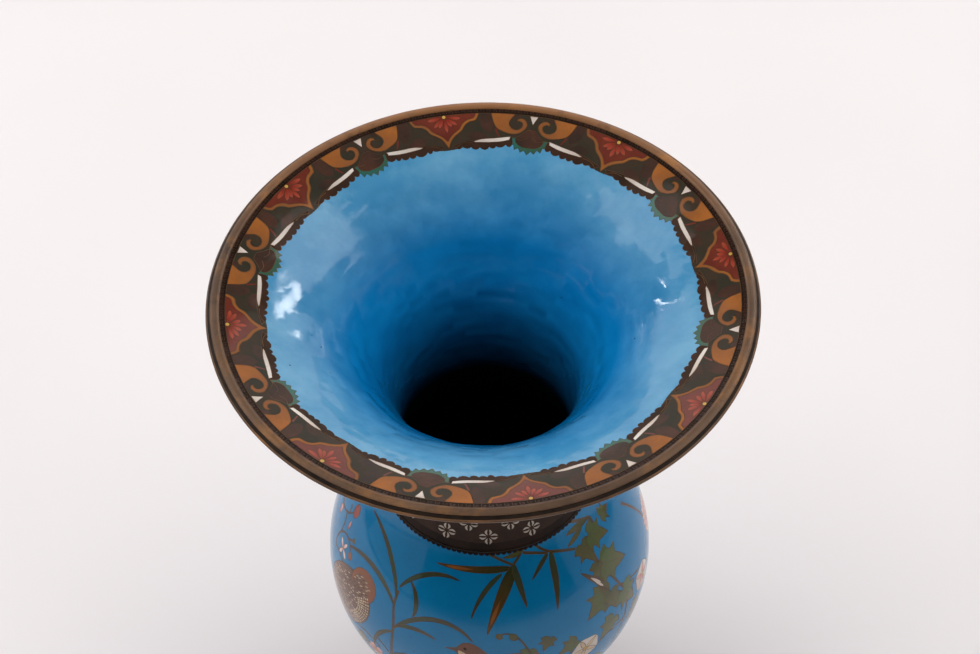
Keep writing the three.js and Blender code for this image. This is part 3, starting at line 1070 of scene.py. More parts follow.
def quail(chart, x, y, size):
    """A quail with a rust crown, a brown back full of pale strokes and a dotted breast."""
    band = chart.band
    spot = chart.spot(x, y, 0.0, size)
    band.cell(spot, oval(*QUAIL_BODY), "feather", 0.3, ((10, 10), (-10, -14)))
    band.cell(spot, oval(*QUAIL_HEAD), "rust", 0.24)
    band.add(spot.flat(band, oval(*QUAIL_NAPE)), "feather")
    for row in range(DASH_ROWS):
        for column in range(DASH_COLUMNS):
            u = -14 + 1.65 * column + 0.8 * (row % 2) + draw.uniform(-0.3, 0.3)
            v = 14 - 1.75 * row + draw.uniform(-0.3, 0.3)
            if in_oval(u, v, *QUAIL_BACK) or in_oval(u, v, *QUAIL_NAPE):
                lean = draw.uniform(0.2, 0.7)
                reach = draw.uniform(0.4, 0.7)
                paint = "cream" if draw.random() < 0.5 else "brown"
                dash = [(u - reach, v - lean * reach), (u + reach, v + lean * reach)]
                band.stroke(spot, dash, 0.36, 0.24, paint)
    middle_x, middle_y, long_half, short_half, tilt = QUAIL_BODY
    for ring in range(6):
        reach = 0.94 - 0.075 * ring
        edge = oval(middle_x, middle_y, long_half * reach, short_half * reach, tilt, BREAST_DOTS)
        for u, v in edge[BREAST_START + ring % 2:]:
            radius = 0.42 * draw.uniform(0.7, 1.2)
            band.add(spot.flat(band, circle(u, v, radius, 6)), "cream")


def small_bird(chart, x, y, size, angle=0.0, flip=False):
    """A flying bird with its beak to the left, a cream throat and a forked tail."""
    band = chart.band
    spot = chart.spot(x, y, angle, size, flip)
    tail = [(0.9, -0.95), (1.75, -1.35), (1.45, -1.5), (1.62, -1.78), (0.72, -1.2)]
    far_wing = curve([(0.0, -0.2), (0.4, -0.14), (1.0, -0.1), (1.7, -0.3), (1.25, -0.5),
                      (0.7, -0.6)], closed=True, steps=4)
    body = curve([(-0.78, 0.06), (-0.64, 0.27), (-0.44, 0.35), (-0.2, 0.27), (0.1, 0.0),
                  (0.5, -0.4), (1.0, -0.96),
                  (0.72, -1.12), (0.1, -0.92), (-0.42, -0.5), (-0.72, -0.14)], closed=True, steps=4)
    throat = curve([(-0.72, 0.02), (-0.5, -0.08), (-0.2, -0.42), (0.3, -0.86), (0.1, -0.9),
                    (-0.42, -0.5), (-0.7, -0.14)], closed=True, steps=4)
    wing = curve([(-0.1, -0.02), (0.2, -0.5), (0.55, -1.2), (0.62, -1.75), (0.95, -1.2),
                  (0.85, -0.62), (0.42, -0.16)], closed=True, steps=4)
    band.cell(spot, tail, "brown", 0.24)
    band.cell(spot, far_wing, "feather", 0.26, ((0, 0), (1.4, 0.7)))
    band.cell(spot, body, "plume", 0.26, ((-0.6, 0.3), (0.6, -1.0)))
    band.cell(spot, throat, "cream", 0.2)
    band.cell(spot, wing, "feather", 0.26, ((0, 0), (0.6, -1.6)))
    for step in range(4):
        shift = 0.16 * step
        band.stroke(spot, curve([(0.1 + shift, -0.5 + shift * 0.5), (0.42 + shift * 0.6, -0.95),
                                 (0.58 + shift * 0.4, -1.5 + shift)], steps=3), 0.2 / size)
        band.stroke(spot, [(0.5 + shift, -0.2), (0.8 + shift * 1.3, -0.22 - shift * 0.1)],
                    0.2 / size)
    band.cell(spot, [(-0.72, 0.14), (-1.14, 0.04), (-0.74, -0.02)], "bark", 0.18)
    band.add(spot.flat(band, circle(-0.52, 0.12, 0.05, 8)), "black")


def butterfly(chart, x, y, size, angle=0.0, paint="petal"):
    """Four rounded wings, with an eye-spot on each."""
    band = chart.band
    upper = curve([(0.05, 0.1), (0.4, 0.75), (0.95, 0.9), (1.05, 0.5), (0.6, 0.05)],
                  closed=True, steps=3)
    lower = curve([(0.05, 0.02), (0.6, -0.02), (0.8, -0.4), (0.45, -0.75), (0.15, -0.4)],
                  closed=True, steps=3)
    for flip in (False, True):
        half = chart.spot(x, y, angle, size, flip)
        band.cell(half, lower, "ochre", 0.24, ((0, 0), (0.6, -0.6)))
        band.cell(half, upper, paint, 0.24, ((0, 0), (1, 0.9)))
        band.cell(half, circle(0.72, 0.56, 0.13, 8), "rust", 0.16)
        band.cell(half, circle(0.48, -0.36, 0.09, 8), "maroon", 0.14)
        feeler = curve([(0.02, 0.3), (0.12, 0.7), (0.34, 0.98)], steps=3)
        band.stroke(half, feeler, 0.18 / size)
    spine = curve([(0, 0.42), (0, 0), (0, -0.6)], steps=4)
    band.cell(chart.spot(x, y, angle, size), blade(spine, 0.16), "brown", 0.18)


# ---- the picture on the body ---------------------------------------------

# Each blade: where it leaves the stem, compass heading, length, bend, curl and width.
GRASS_BLADES = [
    (-45, 29, 350, 45, -85, 0.6, 1.7), (-45, 24, 24, 33, 78, 0.8, 1.6),
    (-45, 33, 322, 39, -86, 0.8, 1.7), (-35, 33, 15, 16, -75, 1.0, 1.5),
    (-43, 44, 32, 42, 110, 1.3, 1.7), (-42, 42, 54, 19, 58, 1.0, 1.4),
    (-43, 46, 252, 21, -70, 0.6, 1.4), (-43, 62, 32, 29, 98, 1.0, 1.6),
    (-43, 78, 330, 32, -115, 1.0, 1.7), (-43, 92, 33, 37, 112, 1.0, 1.7),
    (-42, 104, 323, 29, -83, 1.0, 1.6), (-40, 114, 37, 28, 93, 1.0, 1.5),
]


def grass_clump(chart, shift=0.0):
    """Long arching grass blades from one upright stem."""
    stem = [(-40, 118), (-43, 92), (-43, 70), (-43, 44), (-45, 33), (-45, 26)]
    chart.stem(shifted(stem, shift), 1.0, 0.7)
    for x, y, heading, length, bend, curl, width in GRASS_BLADES:
        spine = sweep(x + shift, y, heading, length, bend, curl)
        chart.leaf(spine, width, "grass", 0.42, vein=False)


def low_tendrils(chart):
    """Two thin tendrils and a rose-coloured flower between the quail and the grass."""
    chart.stem(sweep(-62, 61, 62, 14, 70), 0.5, 0.4, "grass")
    chart.stem(sweep(-51, 56, 112, 11, 40), 0.5, 0.4, "grass")
    blossom(chart, -52, 68, 4.4, "rose", turn=0.5)
    ivy_leaf(chart, -58, 66, 6.4, 120, "leaf")


# Each bamboo leaf: base, compass heading, length, bend, width and paint.
BAMBOO_LEAVES = [
    (12, 7, 271, 42, -4, 2.5, "bamboo"), (6, 9, 245, 24, -50, 1.4, "grass"),
    (14, 6, 222, 32, -24, 4.0, "bamboo"), (13, 6, 167, 18, 4, 2.1, "grass"),
    (36, 6, 192, 24, 5, 2.4, "grass"), (34, 6, 243, 14, -10, 1.4, "grass"),
    (20, 0.5, 250, 12, 22, 1.8, "leaf"),
]
BAMBOO_STEMS = [
    [(21, -1), (17, 3), (13, 6)], [(-1, 0), (6, 3), (13, 6)], [(27, -1), (31, 3), (36, 6)],
    [(20, 2), (28, 4), (34, 6)], [(36, 6), (42, 8), (50, 11)],
]


def bamboo_spray(chart, shift=0.0):
    """Bamboo sprays that hang from the neck's edge, the broad leaves streaked with ochre."""
    for points in BAMBOO_STEMS:
        chart.stem(shifted(points, shift), 0.9, 0.6)
    for x, y, heading, length, bend, width, paint in BAMBOO_LEAVES:
        spine = sweep(x + shift, y, heading, length, bend)
        chart.leaf(spine, width, paint, 0.32)
        if paint == "bamboo":
            chart.streak(spine[4:8], 1.3, "ochre")


def ivy_vine(chart, shift=0.0):
    """A morning-glory vine with ivy-like leaves, buds and flowers down one side."""
    main = [(54, 0), (63, 4), (69, 7), (66, 12), (59, 16), (58, 23), (62, 36), (65, 47), (62, 60),
            (55, 74), (50, 92), (52, 112)]
    chart.stem(shifted(main, shift), 0.9, 0.6)
    for side in ([(62.6, 40), (71, 44), (78, 47)], [(62, 60), (52, 58), (44, 60)],
                 [(56, 73), (66, 78), (74, 86)]):
        chart.stem(shifted(side, shift), 0.6, 0.4)
    chart.leaf(sweep(67 + shift, 6, 282, 18, -12), 2.2, "leaf", vein=False)
    chart.leaf(sweep(61 + shift, 6, 260, 14), 1.7, "leaf", vein=False)
    leaves = [
        (55, 12, 9, 190), (62, 11, 10, 232), (76, 11, 6, 262), (58, 23, 9, 168), (60, 25, 13, 238),
        (54, 36, 12, 118), (57, 39, 9, 186), (64, 44, 12, 206), (55, 52, 10, 128), (24, 41, 6, 150),
        (15, 44, 6, 160), (35, 49, 8, 110), (68, 62, 10, 230), (47, 72, 9, 120), (60, 84, 11, 225),
        (43, 92, 10, 130), (58, 104, 10, 215), (72, 92, 8, 200),
    ]
    for index, (x, y, size, angle) in enumerate(leaves):
        ivy_leaf(chart, x + shift, y, size, angle, "ivy" if index % 3 else "leaf")
    bud(chart, 56 + shift, 36, 17.0, math.radians(27), "white")
    bud(chart, 44.0 + shift, 84.0, 13.0, math.radians(60), "white")
    morning_glory(chart, 39 + shift, 57, 6.8, 0.3, "white", "cream")
    morning_glory(chart, 80 + shift, 54, 7.0, -0.4, "white", "rose")
    chart.stem(sweep(92 + shift, 20, 150, 38, 35), 1.0, 0.6, "bark")
    blossom(chart, 108 + shift, 43, 4.8, "petal", turn=0.4)
    morning_glory(chart, 75.0 + shift, 88.0, 6.6, 0.8)
    morning_glory(chart, 51.0 + shift, 116.0, 6.0, 0.2)
    tendril = sweep(16 + shift, 47, 338, 21, -115, 3)
    berry_spray(chart, tendril, [(3 + shift, 35, 1.4), (9 + shift, 36, 1.8)])


def star_flower(chart, x, y, length, heading, paint="petal"):
    """A half-open flower of four narrow petals, each other one a little longer."""
    for k in range(4):
        reach = length * (1 + 0.15 * (k % 2))
        chart.leaf(sweep(x, y, heading + 90 * k, reach, 8), 1.5, paint, 0.6, vein=False)


def round_bud(chart, x, y, size, paint):
    """A small egg-shaped bud of one colour."""
    spot = chart.spot(x, y, 0.6, size)
    chart.band.cell(spot, oval(0, 0, 1.1, 0.85, 90, 16), paint, 0.24)


# Each twig: base, compass heading, length and bend, then the size and paint of what it bears.
PLUM_TWIGS = [
    (-109, 28, 108, 22, -86, 2.5, "red"), (-97, 22, 110, 4.5, 60, 0.0, ""),
    (-97, 26, 105, 12, 95, 0.0, ""), (-91, 42, 328, 25, 180, 1.5, "rust"),
    (-91, 42, 60, 13, 50, 0.0, ""), (-84, 30, 50, 5, 10, 0.9, "leaf"),
    (-109, 58, 125, 25, -20, 3.4, "rose"), (-114, 74, 325, 18, 15, 3.6, "petal"),
    (-116, 42, 325, 14, 10, 3.2, "petal"), (-107, 92, 105, 24, -30, 3.4, "petal"),
]
BLOSSOM_LEAST = 3.0   # a twig's end this large or larger is an open flower


def plum_branch(chart, shift=0.0):
    """A twisting branch with curled tendrils and small red and pink blossoms."""
    trunk = [(-112, 112), (-107, 92), (-114, 74), (-109, 58), (-116, 42), (-109, 28), (-104, 18),
             (-106, 8), (-101, 1)]
    chart.stem(shifted(trunk, shift), 1.5, 0.6, "bark")
    for index, (x, y, heading, length, bend, size, paint) in enumerate(PLUM_TWIGS):
        twig = sweep(x + shift, y, heading, length, bend)
        chart.stem(twig, 0.55, 0.35, "bark")
        if size >= BLOSSOM_LEAST:
            blossom(chart, *twig[-1], size, paint, turn=0.5 * index)
        elif size:
            round_bud(chart, *twig[-1], size, paint)
    for x, y, size, paint in [(-109, 84, 3.6, "rose"), (-116, 68, 2.8, "rose"),
                              (-105, 101, 3.0, "petal")]:
        blossom(chart, x + shift, y, size, paint)
    star_flower(chart, -84 + shift, 36, 4.2, 20)
    chart.leaf(sweep(-88 + shift, 28, 343, 4), 1.1, "rose", vein=False)
    for x, y, size, paint in [(-102, 31, 1.6, "rose"), (-118, 37, 1.3, "red"), (-90, 96, 1.3, "red"),
                              (-106, 62, 1.3, "red")]:
        round_bud(chart, x + shift, y, size, paint)


def chrysanthemum(chart, x, y, size, paint="petal"):
    """A many-petalled flower head, each petal a cell of its own."""
    band = chart.band
    for ring, (reach, count) in enumerate(((1.0, 16), (0.68, 12), (0.38, 8))):
        for k in range(count):
            a = 2 * math.pi * (k + 0.5 * ring) / count
            out = np.array([math.sin(a), math.cos(a)]) * reach
            spine = np.array([0.12 * out, 0.55 * out, out])
            spot = chart.spot(x, y, 0.0, size)
            band.cell(spot, blade(curve(spine, steps=3), 0.3 * reach + 0.05, 0.65), paint, 0.2,
                      (0.1 * out, out))
    band.cell(chart.spot(x, y, 0.0, size), circle(0, 0, 0.14, 8), "yellow", 0.2)


def chrysanthemum_bush(chart, shift):
    stems = [
        [(0, 118), (2, 96), (-4, 74), (-2, 52), (3, 34)], [(1, 98), (12, 84), (16, 66)],
        [(-3, 76), (-14, 66), (-18, 50)], [(1, 108), (-12, 98), (-20, 88)],
    ]
    for points in stems:
        chart.stem(shifted(points, shift), 1.0, 0.6)
    for x, y, size, paint in [(3, 30, 9.0, "petal"), (17, 60, 8.0, "ochre"), (-19, 46, 8.2, "rose"),
                              (-21, 85, 7.4, "petal")]:
        chrysanthemum(chart, x + shift, y, size, paint)
    leaves = [(-2, 54, 9, 60), (-3, 62, 9, -70), (2, 92, 10, 70), (8, 88, 8, -40), (-10, 70, 8, 100),
              (-8, 100, 9, 80), (13, 76, 8, -90), (0, 108, 9, -70)]
    for x, y, size, angle in leaves:
        ivy_leaf(chart, x + shift, y, size, angle, "leaf")


def body_band():
    """The blue field: birds, bamboo, grasses, a flowering vine and a plum tree, all round."""
    band = Band("body", OUTER, *stretch("body_ground_enamel"), "blue", grain=2.4)
    chart = Chart(band)
    plum_branch(chart)
    grass_clump(chart)
    quail(chart, -72, 48, 1.0)
    small_bird(chart, -4, 43, 13)
    low_tendrils(chart)
    bamboo_spray(chart)
    ivy_vine(chart)
    chrysanthemum(chart, 10, 104, 7.6)
    chart.stem([(10, 110), (8, 120), (12, 131)], 0.9, 0.7)
    ivy_leaf(chart, 9, 117, 8, 70, "leaf")
    ivy_leaf(chart, 9, 121, 8, -70, "leaf")
    butterfly(chart, 28, 82, 6.0, 0.4)
    butterfly(chart, 145, 84, 5.2, 0.7, "ochre")
    chrysanthemum_bush(chart, 124)
    bamboo_spray(chart, 172)
    small_bird(chart, 168, 62, 11.5, 0.3, True)
    plum_branch(chart, -74)
    grass_clump(chart, -108)
    butterfly(chart, -142, 24, 6.5, -0.5)
    neck_scallops(chart)
    return band.lay()


SCALLOPS = 124


def neck_scallops(chart):
    """The neck's black border ends in a fine scalloped edge over the blue."""
    width = 2 * math.pi * BODY_RADIUS / SCALLOPS
    for k in range(SCALLOPS):
        x = -math.pi * BODY_RADIUS + (k + 0.5) * width
        spot, lobe = chart.local([(x, 0), (x - width / 2, 0), (x - width * 0.42, 0.75),
                                  (x, 1.2), (x + width * 0.42, 0.75), (x + width / 2, 0)])
        chart.band.cell(spot, lobe[1:], "black", 0)


# ---- the dark bands and the flare ----------------------------------------

def floret(band, turn, along, size):
    """Four white petals, each a pair of strokes, round a small gap."""
    for k in range(4):
        for flip in (False, True):
            spot = Spot(turn, along, math.radians(90 * k), size, flip)
            spine = curve([(0.10, 0.22), (0.27, 0.62), (0.12, 1.0)], steps=3)
            band.cell(spot, blade(spine, 0.23, 0.55), "bone", 0.12, (spine[0], spine[-1]))


NECK_BORDER = 3.4


def neck_band():
    """A dark ground of staggered florets between plain black borders."""
    low, high = stretch("neck_floret_enamel")
    band = Band("neck", OUTER, low, high, "brown", grain=2.4)
    full_ring(band, low, low + NECK_BORDER, "black")
    full_ring(band, high - NECK_BORDER, high, "black")
    rows = 9
    around = 15
    first = low + NECK_BORDER + 3.0      # the outer rows stay clear of the borders
    last = high - NECK_BORDER - 3.4
    for row in range(rows):
        along = first + (last - first) * row / (rows - 1)
        for k in range(around):
            turn = 2 * math.pi * (k + 0.5 * ((row + 1) % 2)) / around - math.pi
            floret(band, turn + draw.uniform(-0.01, 0.01), along, 3.5)
    return band.lay()


def vine_wave(chart, x, side):
    """One repeat of the flare's running vine: a wave of stem with leaves and flowers."""
    middle = 29

    def at(a, b):
        return (x + a, middle + side * b)

    chart.stem([at(0, 0), at(8, 8), at(17, 11), at(26, 8), at(34.9, 0)], 0.9, 0.9)
    chart.stem([at(14, 10.6), at(12, 3), at(17, -4), at(23, -2)], 0.6, 0.35)
    chart.stem([at(26, 8), at(31, 13), at(32, 19)], 0.6, 0.35)
    leaves = [(6, 6.4, 8.5, 40), (17, 10, 8, -20), (12, 4, 7, 110), (30, 5, 8, 200),
              (31.5, 14, 7, 60)]
    for a, b, length, angle in leaves:
        turned_angle = angle if side < 0 else 180 - angle
        ivy_leaf(chart, *at(a, b), length, turned_angle, "ivy" if a % 2 else "leaf")
    blossom(chart, *at(23.5, -3), 5.0, "petal" if side < 0 else "rose", turn=0.3)
    blossom(chart, *at(32, 20.5), 3.6, "petal", turn=0.9)


def flare_band():
    """The flare's underside: blue, with a flowering vine that runs round it."""
    band = Band("flare", OUTER, *stretch("flare_ground_enamel"), "blue", grain=2.6)
    chart = Chart(band)
    repeats = 12
    pitch = 2 * math.pi * BODY_RADIUS / repeats
    for k in range(repeats):
        vine_wave(chart, -math.pi * BODY_RADIUS + k * pitch, 1 if k % 2 else -1)
    return band.lay()


def under_rim_band():
    low, high = stretch("rim_under_enamel")
    band = Band("under_rim", OUTER, low, high, "black", grain=2.0)
    fret_ticks(band, (low + high) / 2 - 0.6, 1.2, FRET_TICKS)
    return band.lay()


def upright_lappet(band, spot):
    """An ochre-edged tongue with a fan of red petals, as on the lip but taller."""
    half = [(0, 14.6), (-1.4, 11.4), (-3.3, 8.1), (-4.5, 6.3), (-6.3, 4.5), (-6.9, -1.0)]
    left = curve(half, steps=4)
    outline = joined(mirrored(left)[:-1], left)
    band.cell(spot, outline, "ochre", 0.3)
    band.cell(spot, grown(outline, -0.95), "maroon", 0.22)
    for angle in (-50, -25, 0, 25, 50):
        a = math.radians(angle)
        tip = np.array([math.sin(a), math.cos(a)]) * (6.2 - abs(angle) / 22) + (0, 1.6)
        spine = curve([(0, 1.6), (tip + (0, 1.6)) / 2, tip], steps=3)
        band.cell(spot, blade(spine, 1.2, 0.6), "red", 0.16, (spine[0], spine[-1]))
    band.cell(spot, circle(0, 1.7, 0.7, 8), "yellow", 0.16)


def hanging_drop(band, turn, along):
    """A green drop between two white hooks."""
    drop = curve([(0, 0), (1.7, 2.2), (1.0, 5.0), (0, 7.4), (-1.0, 5.0), (-1.7, 2.2)],
                 closed=True, steps=3)
    band.cell(Spot(turn, along, math.pi, 1.1), drop, "teal", 0.26)
    for flip in (False, True):
        hook = blade(curve([(0.9, 0.5), (3.4, 1.2), (4.6, 4.4)], steps=4), 1.5)
        band.cell(Spot(turn, along, math.pi, 1.1, flip), hook, "white", 0.22)


def skirt_band():
    """The dark border under the body, with a ring of upright lappets."""
    low, high = stretch("lower_border_enamel")
    band = Band("skirt", OUTER, low, high, "ground", grain=2.2)
    count = 12
    pitch = 2 * math.pi / count
    full_ring(band, low, low + 1.3, "black")
    for k in range(count):
        turn = k * pitch - math.pi + 0.1
        upright_lappet(band, Spot(turn, low + 1.6, 0.0, 1.36))
        hanging_drop(band, turn + pitch / 2, high - 1.2)
    full_ring(band, high - 1.0, high, "black")
    return band.lay()


def foot_scroll(band, spot):
    """A small comma that curls in over the foot's fret."""
    outline = joined(
        curve([(0.6, 0.2), (0.8, 3.4), (2.6, 6.0), (5.4, 6.6), (7.4, 5.0), (7.4, 3.0), (6.0, 2.2)],
              steps=3),
        curve([(5.8, 2.7), (6.5, 3.4), (6.2, 4.5), (4.9, 4.7), (3.9, 3.4), (4.0, 0.2)], steps=3),
    )
    band.cell(spot, outline, "ochre", 0.24, ((1, 6), (7, 2)))


def foot_band():
    """The foot's black ground: florets over a row of scrolls and a key fret."""
    low, high = stretch("foot_enamel")
    band = Band("foot", OUTER, low, high, "umber", grain=2.0)
    full_ring(band, low, low + 3.2, "black")
    full_ring(band, low + 3.1, low + 3.4, "wire")
    fret_ticks(band, low + 1.0, 1.3, FRET_TICKS // 2)
    count = 16
    pitch = 2 * math.pi / count
    for k in range(count):
        turn = k * pitch - math.pi
        for flip in (False, True):
            foot_scroll(band, Spot(turn, low + 3.9, 0.0, 1.0, flip))
        tongue = blade(curve([(0, 0), (0, 4), (0, 8)], steps=4), 3.2)
        band.cell(Spot(turn + pitch / 2, low + 4.2), tongue, "teal", 0.24)
    for row, rise in enumerate((17.0, 23.0, 29.0)):
        for k in range(count):
            floret(band, (k + 0.5 * (row % 2)) * pitch - math.pi, low + rise, 2.7)
    return band.lay()


# ---- linings, collars and wire rings -------------------------------------

FLOOR_LEVEL = span("body_lining_enamel")[2] + 1      # top of the enamel floor inside
FLARE_START = INNER.at_radius(BORDER_RADIUS) - LIP_OVERLAP


def mouth_lining():
    low = INNER.at_height(span("mouth_lining_enamel")[2])
    return skin("mouth_lining", INNER, low, FLARE_START, "lining", step=2.5)


def body_lining():
    low = INNER.at_height(FLOOR_LEVEL)
    high = INNER.at_height(span("mouth_lining_enamel")[2])
    return skin("body_lining", INNER, low, high, "lining", step=4, columns=192)


def inside_floor():
    radius = float(INNER.radius(INNER.at_height(FLOOR_LEVEL))) + 0.6
    return disc("inside_floor", radius, FLOOR_LEVEL, True, "lining")


def foot_lining():
    low = INNER.at_height(span("foot_lining_enamel")[2])
    high = INNER.at_height(span("foot_lining_enamel")[3])
    return skin("foot_lining", INNER, low, high, "lining", step=2.5)


def base_enamel():
    _, radius, bottom, _ = span("base_counter_enamel")
    return disc("base_enamel", radius, bottom, False, "lining")


def mouth_collar():
    """A broad strip that falls outwards from its ridge, with a thin bead below it."""
    top = TOTAL_HEIGHT
    out = MOUTH_RADIUS
    seat = LIP_RADIUS
    outline = rounded([
        (seat - 1.2, top - 1.6, 0.2), (seat - 1.1, top - 0.7, 0.3), (seat - 0.2, top, 0.6),
        (out - 2.2, top - 0.15, 0.8), (out - 1.5, top - 0.6, 0.2), (out - 1.9, top - 1.2, 0.2),
        (out - 0.6, top - 1.5, 0.15), (out, top - 1.8, 0.25), (out - 0.1, top - 2.4, 0.3),
        (out - 1.8, top - 4.4, 0.8), (seat + 0.1, top - 5.3, 0.3),
    ])
    return turned("mouth_collar", outline, "bronze")


def mouth_groove_shade():
    """Painted shade: a dark ring that fills the groove between the collar's strip and its bead."""
    top = TOTAL_HEIGHT
    out = MOUTH_RADIUS
    outline = rounded([
        (out - 1.62, top - 0.62, 0.1), (out - 0.62, top - 1.42, 0.1), (out - 0.7, top - 1.7, 0.1),
        (out - 2.1, top - 1.6, 0.2), (out - 2.1, top - 0.9, 0.2),
    ])
    return turned("mouth_groove_shade", outline, "groove_shade_and_dull_wire")


def foot_collar():
    """The foot ring: a moulded bronze band with a rounded upper edge."""
    inner, outer, bottom, top = span("foot_ring_collar")
    outline = rounded([
        (inner, bottom, 0.3), (outer - 0.8, bottom, 0.3), (outer, bottom + 1, 0.5),
        (outer, bottom + 2.4, 0.4), (outer - 0.6, bottom + 2.9, 0.2), (outer, bottom + 3.4, 0.4),
        (outer, top - 1.8, 0.8), (outer - 1.4, top, 0.7), (inner, top, 0.4),
    ])
    return turned("foot_collar", outline, "bronze")


def wire_ring(node):
    along = sum(stretch(node)) / 2
    return bead(node + "_bead", along, 0.7, 0.14, "dull_wire")


# ---- camera, lights and floor --------------------------------------------

def rotated(vector, axis, angle):
    axis = axis.normalized()
    return (vector * math.cos(angle) + axis.cross(vector) * math.sin(angle)
            + axis * axis.dot(vector) * (1 - math.cos(angle)))


AIM_DROP = 0.8                       # below the collar's top
CAMERA_ELEVATION = 48.58             # degrees, as the three below
CAMERA_YAW, CAMERA_PITCH, CAMERA_ROLL = -0.22, -1.43, 1.5
CAMERA_REACH = 5.79                  # in mouth radii
CAMERA_LENS = 58.85                  # on a sensor 36 mm wide


def add_camera():
    """Looks down into the mouth at about 49 degrees, from 5.8 mouth radii away."""
    aim = Vector((0, 0, TOTAL_HEIGHT - AIM_DROP))
    elevation = math.radians(CAMERA_ELEVATION)
    distance = CAMERA_REACH * MOUTH_RADIUS
    yaw, pitch, roll = (math.radians(a) for a in (CAMERA_YAW, CAMERA_PITCH, CAMERA_ROLL))
    offset = Vector((0, -distance * math.cos(elevation), distance * math.sin(elevation)))
    forward = -offset.normalized()
    right = Vector((1, 0, 0))
    up = right.cross(forward)
    forward, right = rotated(forward, up, yaw), rotated(right, up, yaw)
    up, forward = rotated(up, right, pitch), rotated(forward, right, pitch)
    right, up = rotated(right, forward, roll), rotated(up, forward, roll)
    data = bpy.data.cameras.new("camera")
    data.lens = CAMERA_LENS
    data.sensor_width = 36
    data.clip_end = 20
    camera = bpy.data.objects.new("camera", data)
    matrix = camera.matrix_world.to_3x3()
    matrix.col[0], matrix.col[1], matrix.col[2] = right, up, -forward
    camera.matrix_world = matrix.to_4x4()
    camera.location = (aim + offset) * MM
    bpy.context.scene.collection.objects.link(camera)
    bpy.context.scene.camera = camera


SOFTBOX_REACH = 3                    # metres from the middle of the vase


def add_softbox(name, azimuth, elevation, width, height, brightness, in_gloss=True):
    """A panel that faces the vase. Azimuth 0 is the camera's side, and 90 is +X."""
    a, e = math.radians(azimuth), math.radians(elevation)
    middle = Vector((0, 0, 0.25))
    away = Vector((math.sin(a) * math.cos(e), -math.cos(a) * math.cos(e), math.sin(e)))
    data = bpy.data.lights.new(name, "AREA")
    data.shape = "RECTANGLE"
    data.size = width
    data.size_y = height
    data.energy = brightness * math.pi * width * height
    lamp = bpy.data.objects.new(name, data)
    lamp.location = middle + away * SOFTBOX_REACH
    lamp.rotation_euler = (-away).to_track_quat("-Z", "Y").to_euler()
    lamp.visible_camera = False
    lamp.visible_glossy = in_gloss
    bpy.context.scene.collection.objects.link(lamp)


# Each light: name, azimuth, elevation, width, height, brightness, and whether it is mirrored.
STUDIO_LIGHTS = [
    ("top_light", 0, 88, 3.2, 2.6, 2.5, False),
    ("left_fill", -88, 34, 2.6, 2.2, 2.3, False),
    ("right_fill", 86, 30, 2.6, 2.2, 1.6, False),
    ("back_light", 180, 20, 5.5, 2.4, 0.85, True),
    ("left_light", -74, 7, 2.6, 1.0, 0.45, True),
    ("right_light", 78, 6, 2.4, 1.0, 0.4, True),
    ("left_sheen", -115, 50, 1.6, 1.4, 1.5, True),
    ("right_sheen", 113, 46, 1.6, 1.4, 1.75, True),
    ("left_glint", -134, 24, 0.24, 0.42, 14, True),
    ("right_glint", 136, 31, 0.34, 0.6, 12, True),
]
GLOW_HEIGHT = 0.06                   # the glow fades out this far above the horizon
HORIZON_GLOW = 0.22
SKY_GLOW = 0.02


def add_studio():
    """Soft lights round the vase, and a dim sky that is brighter from the horizon down."""
    for light in STUDIO_LIGHTS:
        add_softbox(*light)
    world = bpy.data.worlds.new("studio")
    world.use_nodes = True
    nodes, links = world.node_tree.nodes, world.node_tree.links
    split = nodes.new("ShaderNodeSeparateXYZ")
    links.new(nodes.new("ShaderNodeTexCoord").outputs["Generated"], split.inputs["Vector"])
    fade = nodes.new("ShaderNodeMapRange")
    links.new(split.outputs["Z"], fade.inputs["Value"])
    for socket, number in (("From Min", 0.0), ("From Max", GLOW_HEIGHT),
                           ("To Min", HORIZON_GLOW), ("To Max", SKY_GLOW)):
        fade.inputs[socket].default_value = number
    links.new(fade.outputs["Result"], nodes["Background"].inputs["Strength"])
    nodes["Background"].inputs["Color"].default_value = srgb(240, 237, 236)
    bpy.context.scene.world = world
    bpy.context.scene.view_settings.view_transform = "Standard"


FLOOR_RADIUS = 4.2    # in metres, as the studio is
BACKDROP_COLUMNS = 96
BACKDROP_GLOW = 0.75


def add_floor():
    mesh = bpy.data.meshes.new("floor")
    points = [(x, y, 0) for x, y in circle(0, 0, FLOOR_RADIUS, BACKDROP_COLUMNS)]
    mesh.from_pydata(points, [], [list(range(len(points)))])
    floor = bpy.data.objects.new("floor", mesh)
    bpy.context.scene.collection.objects.link(floor)
    s = Shader("floor")
    s.set(base_color=s.mix(s.span(s.noise(3), 0.3, 0.7), srgb(229, 223, 223), srgb(225, 219, 219)))
    s.set(roughness=0.85)
    mesh.materials.append(s.material)


def add_backdrop():
    """A pale wall round the floor, seen directly but not mirrored in the enamel."""
    turn = np.linspace(0, 2 * math.pi, BACKDROP_COLUMNS, endpoint=False)
    ring = np.stack([FLOOR_RADIUS * np.sin(turn), FLOOR_RADIUS * np.cos(turn)], 1)
    points = [(x, y, z) for z in (0, FLOOR_RADIUS) for x, y in ring]
    mesh = bpy.data.meshes.new("backdrop")
    mesh.from_pydata(points, [], ring_faces(2, BACKDROP_COLUMNS).tolist())
    wall = bpy.data.objects.new("backdrop", mesh)
    wall.visible_glossy = False
    wall.visible_diffuse = False
    wall.visible_shadow = False
    bpy.context.scene.collection.objects.link(wall)
    s = Shader("backdrop")
    pale = s.mix(s.span(s.noise(1), 0.3, 0.7), srgb(236, 231, 230), srgb(232, 227, 226))
    s.set(base_color=pale, roughness=0.9, emission_color=pale, emission_strength=BACKDROP_GLOW)
    mesh.materials.append(s.material)


# ---- the whole vase ------------------------------------------------------

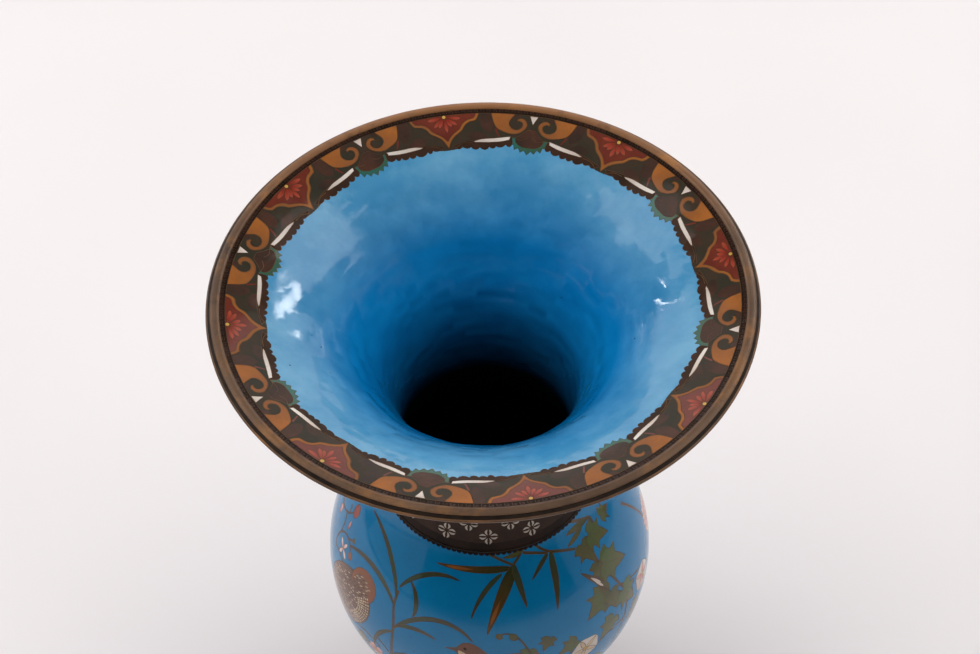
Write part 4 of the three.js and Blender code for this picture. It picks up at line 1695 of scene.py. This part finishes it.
def keep(piece, slot, *nodes):
    """Fixes a finished piece to the vase and hides the CAD nodes it stands for."""
    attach(piece, "root")
    if nodes:
        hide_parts(*nodes)


def numbered(stem):
    return [f"{stem}_{k + 1}" for k in range(LAPPETS)]


def keep_band(pieces, stands_for):
    """Keeps a band's pieces; some of them, named by slot, stand for CAD nodes."""
    for slot, piece in pieces.items():
        keep(piece, slot, *stands_for.get(slot, ()))


def add_bands():
    keep_band(lip_band(), {
        "dark_enamel": ["lip_border_enamel"],
        "black_enamel": ["lip_fret_enamel"],
        "red_enamel": numbered("lip_lappet"),
        "ochre_enamel": numbered("lip_scroll_left") + numbered("lip_scroll_right"),
    })
    keep_band(body_band(), {"turquoise_enamel": ["body_ground_enamel"]})
    keep_band(neck_band(), {"dark_enamel": ["neck_floret_enamel"]})
    keep_band(flare_band(), {"turquoise_enamel": ["flare_ground_enamel"]})
    keep_band(under_rim_band(), {"black_enamel": ["rim_under_enamel"]})
    keep_band(skirt_band(), {"dark_enamel": ["lower_border_enamel"]})
    keep_band(foot_band(), {"dark_enamel": ["foot_enamel"]})


def add_plain_parts():
    keep(mouth_lining(), "counter_enamel", "mouth_lining_enamel")
    keep(body_lining(), "counter_enamel", "body_lining_enamel")
    keep(inside_floor(), "counter_enamel", "body_lining_enamel")
    keep(foot_lining(), "counter_enamel", "foot_lining_enamel")
    keep(base_enamel(), "counter_enamel", "base_counter_enamel")
    keep(mouth_collar(), "patinated_bronze", "mouth_rim_collar")
    # the groove's painted shade
    keep(mouth_groove_shade(), "patinated_bronze", "mouth_rim_collar")
    keep(foot_collar(), "patinated_bronze", "foot_ring_collar")
    for node in ("waist_wire", "lower_border_wire", "shoulder_wire", "neck_upper_wire",
                 "rim_under_wire"):
        keep(wire_ring(node), "cell_wire", node)


def finish_cores():
    """The CAD's copper shells stay, with a copper that shows where the enamel ends."""
    for node in ("foot_core", "body_core", "trumpet_core"):
        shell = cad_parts[node]
        for slot in shell.material_slots:
            slot.material = copper()


add_camera()
add_studio()
add_floor()
add_backdrop()
add_bands()
add_plain_parts()
finish_cores()
